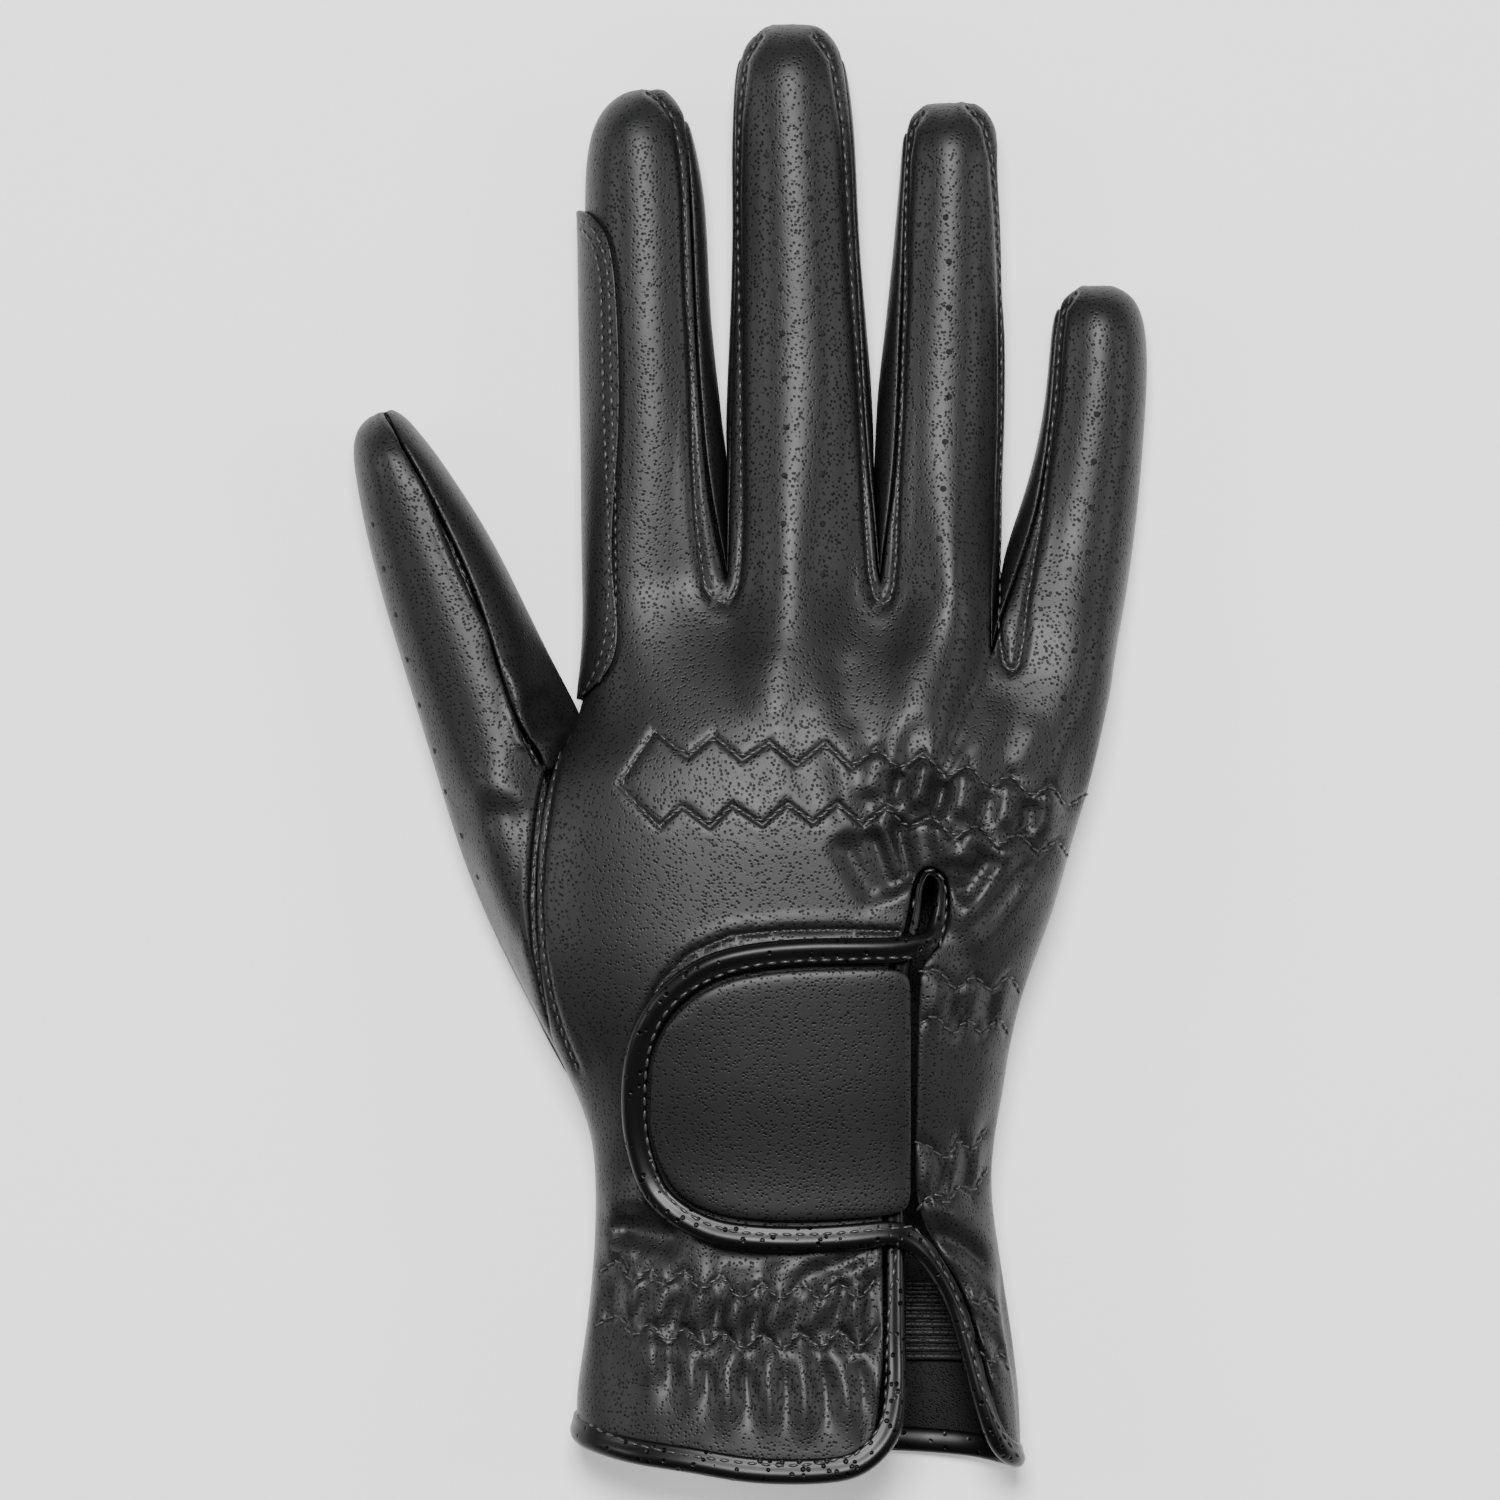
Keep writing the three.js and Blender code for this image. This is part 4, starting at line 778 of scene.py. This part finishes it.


# Each finish's second colour is painted shade, darker, in its grain's pits
LEATHER = Finish(
    "pebbled_black", (0.0085, 0.0086, 0.0089), (0.0022, 0.0022, 0.0022), (0.38, 0.48), 0.5, specular=0.30,
)
BINDING = Finish(
    "smooth_black", (0.0022, 0.0022, 0.0023), (0.0006, 0.0006, 0.0006), (0.26, 0.42), 0.8,
    grain_scale=700.0, pit_size=0.3, grain_depth=0.12 * MM, specular=0.20,
)
THREAD = Finish(
    "thread", (0.03, 0.03, 0.031), (0.01, 0.01, 0.01), (0.3, 0.42), 0.3,
    grain_scale=4000.0, grain_depth=0.02 * MM,
)
# Black discs over the real perforations: painted shade of the holes' dark insides
HOLE_SHADE = Finish("painted_hole_shade", (0.002, 0.002, 0.002), (0.002, 0.002, 0.002), (0.8, 0.9), 0.1)
KNIT = Finish(
    "elastic_knit", (0.012, 0.012, 0.013), (0.001, 0.001, 0.001), (0.4, 0.55), 0.9,
    grain_scale=3200.0, pit_size=0.5, specular=0.3,
)
LINING = Finish(
    "lining", (0.004, 0.004, 0.0044), (0.001, 0.001, 0.001), (0.40, 0.55), 0.6,
    grain_scale=2600.0, specular=0.15,
)


# Repeats laid by Geometry Nodes


Sockets = dict[str, bpy.types.NodeSocket]
FINE_STEP = 0.3 * MM
RAY_LENGTH = 0.2


def repeat_tree(name: str, numbers: dict[str, float]) -> tuple[bpy.types.NodeTree, Sockets]:
    """Starts a Geometry Nodes tree that lays a line onto a surface.

    Args:
        name: the tree's name.
        numbers: its number inputs and their usual values.

    Returns:
        The tree, and its inner sockets by name: each input, the line laid on the surface ("Laid"), and the
        surface's normal there ("Normal").
    """
    tree = bpy.data.node_groups.new(name, "GeometryNodeTree")
    face = tree.interface
    face.new_socket(name="Geometry", in_out="OUTPUT", socket_type="NodeSocketGeometry")
    face.new_socket(name="Geometry", in_out="INPUT", socket_type="NodeSocketGeometry")
    face.new_socket(name="Surface", in_out="INPUT", socket_type="NodeSocketObject")
    face.new_socket(name="Finish", in_out="INPUT", socket_type="NodeSocketMaterial")
    face.new_socket(name="Direction", in_out="INPUT", socket_type="NodeSocketVector")
    for key, value in numbers.items():
        face.new_socket(name=key, in_out="INPUT", socket_type="NodeSocketFloat").default_value = value
    entry = tree.nodes.new("NodeGroupInput")
    target = tree.nodes.new("GeometryNodeObjectInfo")
    target.transform_space = "RELATIVE"
    curve = tree.nodes.new("GeometryNodeMeshToCurve")
    fine = tree.nodes.new("GeometryNodeResampleCurve")
    fine.mode = "LENGTH"
    fine.inputs["Length"].default_value = FINE_STEP
    hit = tree.nodes.new("GeometryNodeRaycast")
    hit.inputs["Ray Length"].default_value = RAY_LENGTH
    lay = tree.nodes.new("GeometryNodeSetPosition")
    missed = tree.nodes.new("GeometryNodeDeleteGeometry")
    missed.domain = "POINT"
    opposite = tree.nodes.new("FunctionNodeBooleanMath")
    opposite.operation = "NOT"
    link = tree.links.new
    link(entry.outputs["Surface"], target.inputs["Object"])
    link(entry.outputs["Geometry"], curve.inputs["Mesh"])
    link(curve.outputs["Curve"], fine.inputs["Curve"])
    link(target.outputs["Geometry"], hit.inputs["Target Geometry"])
    link(entry.outputs["Direction"], hit.inputs["Ray Direction"])
    link(hit.outputs["Is Hit"], opposite.inputs[0])
    capture = tree.nodes.new("GeometryNodeCaptureAttribute")
    capture.capture_items.new("BOOLEAN", "Missed")
    capture.capture_items.new("VECTOR", "Hit")
    link(fine.outputs["Curve"], capture.inputs["Geometry"])
    link(opposite.outputs["Boolean"], capture.inputs["Missed"])
    link(hit.outputs["Hit Position"], capture.inputs["Hit"])
    link(capture.outputs["Geometry"], missed.inputs["Geometry"])
    link(capture.outputs["Missed"], missed.inputs["Selection"])
    link(missed.outputs["Geometry"], lay.inputs["Geometry"])
    link(capture.outputs["Hit"], lay.inputs["Position"])
    near_surface = tree.nodes.new("GeometryNodeSampleNearestSurface")
    near_surface.data_type = "FLOAT_VECTOR"
    normal = tree.nodes.new("GeometryNodeInputNormal")
    link(target.outputs["Geometry"], near_surface.inputs["Mesh"])
    link(normal.outputs["Normal"], near_surface.inputs["Value"])
    sockets = {socket.name: socket for socket in entry.outputs if socket.name}
    sockets["Laid"] = lay.outputs["Geometry"]
    sockets["Normal"] = near_surface.outputs["Value"]
    return tree, sockets


def finish_tree(tree: bpy.types.NodeTree, made: bpy.types.NodeSocket, finish: bpy.types.NodeSocket) -> None:
    """Ends a tree: its instances are made real and given their material."""
    real = tree.nodes.new("GeometryNodeRealizeInstances")
    paint = tree.nodes.new("GeometryNodeSetMaterial")
    smooth = tree.nodes.new("GeometryNodeSetShadeSmooth")
    leave = tree.nodes.new("NodeGroupOutput")
    tree.links.new(made, real.inputs["Geometry"])
    tree.links.new(real.outputs["Geometry"], smooth.inputs[0])
    tree.links.new(smooth.outputs[0], paint.inputs["Geometry"])
    tree.links.new(finish, paint.inputs["Material"])
    tree.links.new(paint.outputs["Geometry"], leave.inputs["Geometry"])


# How far a stitch may turn out of true about its three axes, in radians
LOOSENESS = (0.06, 0.12, 0.1)
RIB_STEP = 0.6 * MM


def stitch_tree() -> bpy.types.NodeTree:
    """Stitches along a line: one thread loop at each pitch, turned along the line and out of the surface.

    Returns:
        The node tree, with its sizes as inputs.
    """
    tree, sockets = repeat_tree(
        "stitches",
        {"Pitch": 2.1 * MM, "Length": 1.7 * MM, "Width": 0.5 * MM, "Height": 0.42 * MM, "Lift": 0.06 * MM},
    )
    link = tree.links.new
    space = tree.nodes.new("GeometryNodeResampleCurve")
    space.mode = "LENGTH"
    link(sockets["Laid"], space.inputs["Curve"])
    link(sockets["Pitch"], space.inputs["Length"])
    loop = tree.nodes.new("GeometryNodeMeshUVSphere")
    loop.inputs["Segments"].default_value = 8
    loop.inputs["Rings"].default_value = 5
    loop.inputs["Radius"].default_value = 0.5
    size = tree.nodes.new("ShaderNodeCombineXYZ")
    turn_pole = tree.nodes.new("GeometryNodeTransform")
    turn_pole.inputs["Rotation"].default_value = (0.0, math.pi / 2, 0.0)
    shape = tree.nodes.new("GeometryNodeTransform")
    link(loop.outputs["Mesh"], turn_pole.inputs["Geometry"])
    link(turn_pole.outputs["Geometry"], shape.inputs["Geometry"])
    for axis, key in (("X", "Length"), ("Y", "Width"), ("Z", "Height")):
        link(sockets[key], size.inputs[axis])
    link(size.outputs["Vector"], shape.inputs["Scale"])
    along = tree.nodes.new("FunctionNodeAlignRotationToVector")
    along.axis = "X"
    tangent = tree.nodes.new("GeometryNodeInputTangent")
    link(tangent.outputs["Tangent"], along.inputs["Vector"])
    upright = tree.nodes.new("FunctionNodeAlignRotationToVector")
    upright.axis = "Z"
    upright.pivot_axis = "X"
    link(along.outputs["Rotation"], upright.inputs["Rotation"])
    link(sockets["Normal"], upright.inputs["Vector"])
    jitter = tree.nodes.new("FunctionNodeRandomValue")
    jitter.data_type = "FLOAT_VECTOR"
    jitter.inputs["Seed"].default_value = SEED
    jitter.inputs[0].default_value = tuple(-angle for angle in LOOSENESS)
    jitter.inputs[1].default_value = LOOSENESS
    twist = tree.nodes.new("FunctionNodeRotateRotation")
    twist.rotation_space = "LOCAL"
    to_turn = tree.nodes.new("FunctionNodeEulerToRotation")
    link(jitter.outputs[0], to_turn.inputs["Euler"])
    link(upright.outputs["Rotation"], twist.inputs["Rotation"])
    link(to_turn.outputs["Rotation"], twist.inputs["Rotate By"])
    lift = tree.nodes.new("ShaderNodeVectorMath")
    lift.operation = "SCALE"
    link(sockets["Normal"], lift.inputs[0])
    link(sockets["Lift"], lift.inputs["Scale"])
    raised = tree.nodes.new("GeometryNodeSetPosition")
    place = tree.nodes.new("GeometryNodeInstanceOnPoints")
    link(space.outputs["Curve"], place.inputs["Points"])
    link(shape.outputs["Geometry"], place.inputs["Instance"])
    link(twist.outputs["Rotation"], place.inputs["Rotation"])
    link(place.outputs["Instances"], raised.inputs["Geometry"])
    link(lift.outputs["Vector"], raised.inputs["Offset"])
    finish_tree(tree, raised.outputs["Geometry"], sockets["Finish"])
    return tree


def rib_tree() -> bpy.types.NodeTree:
    """Round ribs along lines laid on a surface.

    Returns:
        The node tree, with its sizes as inputs.
    """
    tree, sockets = repeat_tree("ribs", {"Radius": 0.5 * MM})
    link = tree.links.new
    space = tree.nodes.new("GeometryNodeResampleCurve")
    space.mode = "LENGTH"
    space.inputs["Length"].default_value = RIB_STEP
    ring = tree.nodes.new("GeometryNodeCurvePrimitiveCircle")
    ring.inputs["Resolution"].default_value = 8
    tube = tree.nodes.new("GeometryNodeCurveToMesh")
    tube.inputs["Fill Caps"].default_value = True
    link(sockets["Laid"], space.inputs["Curve"])
    link(sockets["Radius"], ring.inputs["Radius"])
    link(space.outputs["Curve"], tube.inputs["Curve"])
    link(ring.outputs["Curve"], tube.inputs["Profile Curve"])
    finish_tree(tree, tube.outputs["Mesh"], sockets["Finish"])
    return tree


@dataclass
class Repeat:
    """Stitches, ribs or black discs of painted shade at holes, laid by a Geometry Nodes tree along lines
    over one surface.
    """

    name: str
    tree: bpy.types.NodeTree
    surface: bpy.types.Object
    finish: Finish
    slot: Slot
    lines: list[np.ndarray]
    sizes: dict[str, float] = field(default_factory=dict)
    start: float = 60 * MM

    def guide(self) -> bpy.types.Mesh:
        """The lines as a mesh of edges, above the surface.

        Returns:
            The mesh that the tree starts from.
        """
        mesh = bpy.data.meshes.new(self.name + "_guide")
        points: list[tuple[float, float, float]] = []
        edges: list[tuple[int, int]] = []
        for line in self.lines:
            first = len(points)
            points += [(x, y, self.start) for x, y in line]
            edges += [(i, i + 1) for i in range(first, len(points) - 1)]
        mesh.from_pydata(points, edges, [])
        return mesh

    def build(self) -> bpy.types.Object:
        """Runs the tree and keeps its result as a plain mesh.

        Returns:
            The piece.
        """
        guide = bpy.data.objects.new(self.name + "_guide", self.guide())
        bpy.context.scene.collection.objects.link(guide)
        modifier = guide.modifiers.new("lay", "NODES")
        modifier.node_group = self.tree
        values = {
            "Surface": self.surface,
            "Finish": self.finish.material(),
            "Direction": DOWN,
            **self.sizes,
        }
        for socket in self.tree.interface.items_tree:
            if socket.in_out == "INPUT" and socket.name in values:
                modifier[socket.identifier] = values[socket.name]
        bpy.context.view_layer.update()
        graph = bpy.context.evaluated_depsgraph_get()
        mesh = bpy.data.meshes.new_from_object(guide.evaluated_get(graph))
        guide.modifiers.clear()
        bpy.data.objects.remove(guide)
        mesh.name = self.name
        return placed(self.name, mesh, self.slot)


def flat(lines: list[Line], corners: int = 2) -> list[np.ndarray]:
    """Lines of the photograph as rounded lines in the frame, seen from above."""
    return [rounded(on_photo(line), corners) for line in lines]


def beside(line: Line, offset: float) -> np.ndarray:
    """A line of the photograph moved to its left, as a line in the frame.

    Args:
        line: the line, in pixels of the photograph.
        offset: how far it moves, in metres.

    Returns:
        The points of the moved line, in metres.
    """
    points = rounded(on_photo(line))
    steps = np.gradient(points, axis=0)
    steps /= np.linalg.norm(steps, axis=1)[:, None]
    return points + offset * np.stack([-steps[:, 1], steps[:, 0]], axis=1)


def dashes(lines: dict[str, Line], size: float) -> list[np.ndarray]:
    """A very short line at each point of some rows, to carry one small shape each."""
    short = np.array([[-size / 2, 0.0], [size / 2, 0.0]])
    return [point + short for line in lines.values() for point in on_photo(line)]


# The glove's sub-assemblies


@dataclass
class Hand:
    """The back, the palm, the strips between the fingers and the thumb."""

    back_hem_reach: float = 2.4 * MM
    palm_hem_reach: float = 4.2 * MM
    thumb_levels: int = 3

    def build(self) -> dict[str, bpy.types.Object]:
        """Makes the hand's leather pieces.

        Returns:
            The pieces, by the names of their solids.
        """
        zigzags = [KNUCKLE_UPPER, KNUCKLE_LOWER, KNUCKLE_END, CUFF_UPPER, CUFF_LOWER, *SIDE_ZIGZAGS.values()]
        seams = [*FORK_STITCHES.values(), THUMB_JOINT_INNER, HOOK_PATCH]
        joint = [THUMB_RIDGE, THUMB_JOINT]
        levels = self.thumb_levels
        back = SewnSheet("back_panel", "hand_back", LEATHER, seams=seams, zigzags=zigzags, folded=True)
        back.hem_reach = self.back_hem_reach
        made = [
            back,
            SewnSheet("palm_panel", "hand_palm", LEATHER, lining=LINING, hem_reach=self.palm_hem_reach),
            SewnSheet("fourchette_index_middle", "strip_index_middle", LEATHER),
            SewnSheet("fourchette_middle_ring", "strip_middle_ring", LEATHER),
            SewnSheet("fourchette_ring_little", "strip_ring_little", LEATHER),
            SewnSheet(
                "thumb_outer", "thumb_outer", LEATHER, seams=joint, folded=True, levels=levels, fine_levels=1
            ),
            SewnSheet("thumb_inner", "thumb_inner", LEATHER, folded=True, levels=levels),
        ]
        return {sheet.node: sheet.build() for sheet in made}


@dataclass
class IndexPatch:
    """The reinforcement over the index finger's outer side, sewn twice along its edge."""

    first_row: float = 0.95 * MM
    second_row: float = 2.15 * MM
    levels: int = 3

    def build(self, stitches: bpy.types.NodeTree) -> bpy.types.Object:
        """Makes the patch and its two rows of stitches.

        Args:
            stitches: the node tree of a row of stitches.

        Returns:
            The patch.
        """
        sheet = SewnSheet("index_patch", "index_patch", LEATHER, levels=self.levels)
        piece = sheet.build()
        rows = [beside(PATCH_EDGE, -self.first_row), beside(PATCH_EDGE, -self.second_row)]
        sizes = {"Pitch": 1.75 * MM, "Length": 1.3 * MM, "Width": 0.42 * MM, "Height": 0.3 * MM}
        Repeat("patch_stitches", stitches, piece, THREAD, Slot.LEATHER, rows, sizes).build()
        return piece


@dataclass
class WristTab:
    """The rounded tab over the wrist."""

    levels: int = 3

    def build(self) -> bpy.types.Object:
        """Makes the tab's leather."""
        return SewnSheet("wrist_tab", "wrist_tab", LEATHER, levels=self.levels).build()


@dataclass
class EdgeBinding:
    """The rolled binding round the tab, the keyhole, the slit and the hem, with its stitches."""

    stitch_offset: float = 1.5 * MM
    levels: int = 3

    def build(self, stitches: bpy.types.NodeTree) -> bpy.types.Object:
        """Makes the binding and the stitches in its groove.

        Args:
            stitches: the node tree of a row of stitches.

        Returns:
            The binding.
        """
        sheet = SewnSheet("edge_binding", "edge_binding", BINDING, slot=Slot.BINDING, levels=self.levels)
        piece = sheet.build()
        rows = [
            beside(TAB_EDGE, -self.stitch_offset),
            *flat([SLIT_LEFT, SLIT_RIGHT, HEM_STITCHES, KEYHOLE_STITCHES]),
        ]
        sizes = {"Pitch": 2.0 * MM, "Length": 1.5 * MM, "Width": 0.5 * MM, "Height": 0.4 * MM}
        Repeat("binding_stitches", stitches, piece, THREAD, Slot.BINDING, rows, sizes).build()
        return piece


@dataclass
class CuffElastic:
    """The ribbed elastic band inside the wrist."""

    ribs: int = 10
    radius: float = 0.5 * MM
    margin: float = 2 * MM
    start: float = 20 * MM

    def build(self) -> bpy.types.Object:
        """Makes the band and its ribs.

        Returns:
            The band.
        """
        band = SewnSheet("cuff_elastic", "cuff_elastic", KNIT, slot=Slot.ELASTIC).build()
        low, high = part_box("cuff_elastic")
        rows = []
        for rib in range(self.ribs):
            y = low.y + (rib + 0.5) / self.ribs * (high.y - low.y)
            rows.append(np.array([(low.x + self.margin, y), (high.x - self.margin, y)]))
        sizes = {"Radius": self.radius}
        Repeat("elastic_ribs", rib_tree(), band, KNIT, Slot.ELASTIC, rows, sizes, self.start).build()
        return band


@dataclass
class Stitching:
    """The stitch rows of the hand and thumb, and black discs of painted shade in their perforations."""

    hand: dict[str, bpy.types.Object]
    tree: bpy.types.NodeTree
    hole_mark: float = 0.04 * MM

    def build(self) -> None:
        """Lays the straight rows, the zigzags, and the black discs of painted shade in the perforations."""
        back, thumb = self.hand["back_panel"], self.hand["thumb_outer"]
        straight = {"Pitch": 1.9 * MM, "Length": 1.45 * MM, "Width": 0.42 * MM, "Height": 0.34 * MM}
        small = {"Pitch": 1.3 * MM, "Length": 0.95 * MM, "Width": 0.32 * MM, "Height": 0.25 * MM}
        zigzag = {"Pitch": 1.75 * MM, "Length": 1.5 * MM, "Width": 0.46 * MM, "Height": 0.4 * MM}
        # Sizes of the black discs of painted shade in the perforations
        hole_shade_sizes = {"Pitch": 1.0 * MM, "Length": 0.95 * MM, "Width": 0.95 * MM, "Height": 0.2 * MM, "Lift": 0.0}
        bands = flat([KNUCKLE_UPPER, KNUCKLE_LOWER, KNUCKLE_END, CUFF_UPPER, CUFF_LOWER], 1)
        side = flat(list(SIDE_ZIGZAGS.values()), 1)
        on_hand = {key: line for key, line in PERFORATIONS.items() if key != "thumb"}
        on_thumb = {"thumb": PERFORATIONS["thumb"]}
        rows = [
            ("finger_stitches", back, THREAD, flat(list(FORK_STITCHES.values())), straight),
            ("joint_stitches", back, THREAD, flat([THUMB_JOINT_INNER]), straight),
            ("hook_stitches", back, THREAD, flat([HOOK_PATCH]), small),
            ("band_stitches", back, THREAD, bands + side, zigzag),
            ("thumb_stitches", thumb, THREAD, flat([THUMB_RIDGE, THUMB_JOINT]), straight),
            ("hand_perforations", back, HOLE_SHADE, dashes(on_hand, self.hole_mark), hole_shade_sizes),
            ("thumb_perforations", thumb, HOLE_SHADE, dashes(on_thumb, self.hole_mark), hole_shade_sizes),
        ]
        for name, surface, finish, lines, sizes in rows:
            Repeat(name, self.tree, surface, finish, Slot.LEATHER, lines, sizes).build()


@dataclass(frozen=True)
class Studio:
    """A pale floor, soft light and a camera straight above, at the photograph's angle."""

    camera_height: float = 1.6
    photo_side: float = 1500 * PHOTO_PIXEL
    sensor: float = 36.0
    mid_height: float = 0.012
    floor_side: float = 6.0
    lamp_side: float = 0.5
    top_power: float = 52.0
    fill_power: float = 7.0
    floor_glow: float = 0.35
    sky_strength: float = 0.12

    def floor(self) -> None:
        """The floor, which isn't part of the glove."""
        bpy.ops.mesh.primitive_plane_add(size=self.floor_side)
        plane = bpy.context.object
        plane.name = "floor"
        paper = bpy.data.materials.new("paper")
        paper.use_nodes = True
        shader = paper.node_tree.nodes["Principled BSDF"]
        shader.inputs["Base Color"].default_value = (0.9, 0.9, 0.9, 1.0)
        shader.inputs["Roughness"].default_value = 0.9
        shader.inputs["Emission Color"].default_value = (1.0, 1.0, 1.0, 1.0)
        shader.inputs["Emission Strength"].default_value = self.floor_glow
        plane.data.materials.append(paper)

    def light(self, name: str, place: Vector, power: float) -> None:
        """One square soft light that looks at the glove.

        Args:
            name: the light's name.
            place: where it hangs.
            power: its power, in watts.
        """
        lamp = bpy.data.lights.new(name, "AREA")
        lamp.shape = "SQUARE"
        lamp.size = self.lamp_side
        lamp.energy = power
        holder = bpy.data.objects.new(name, lamp)
        holder.location = place
        holder.rotation_euler = (-place).to_track_quat("-Z", "Y").to_euler()
        bpy.context.scene.collection.objects.link(holder)

    def camera(self) -> None:
        """The camera, set so that the floor's middle fills the photograph's frame."""
        lens = bpy.data.cameras.new("camera")
        lens.sensor_width = self.sensor
        lens.lens = self.sensor * (self.camera_height - self.mid_height) / self.photo_side
        holder = bpy.data.objects.new("camera", lens)
        holder.location = (0.0, 0.0, self.camera_height)
        bpy.context.scene.collection.objects.link(holder)
        bpy.context.scene.camera = holder

    def build(self) -> None:
        """Sets up the floor, the lights, the world and the camera."""
        self.floor()
        self.light("top_softbox", Vector((-0.04, 0.5, 1.7)), self.top_power)
        self.light("left_fill", Vector((-1.3, 0.2, 0.9)), self.fill_power)
        self.light("right_fill", Vector((1.3, 0.1, 0.9)), self.fill_power)
        world = bpy.data.worlds.new("studio")
        world.use_nodes = True
        sky = world.node_tree.nodes["Background"]
        sky.inputs["Color"].default_value = (1.0, 1.0, 1.0, 1.0)
        sky.inputs["Strength"].default_value = self.sky_strength
        bpy.context.scene.world = world
        self.camera()


def main() -> None:
    """Builds the glove piece by piece, then the studio round it."""
    logging.basicConfig(level=logging.INFO, format="%(name)s: %(message)s")
    stitches = stitch_tree()
    hand = Hand().build()
    IndexPatch().build(stitches)
    WristTab().build()
    EdgeBinding().build(stitches)
    CuffElastic().build()
    Stitching(hand, stitches).build()
    Studio().build()


if __name__ == "__main__":
    main()
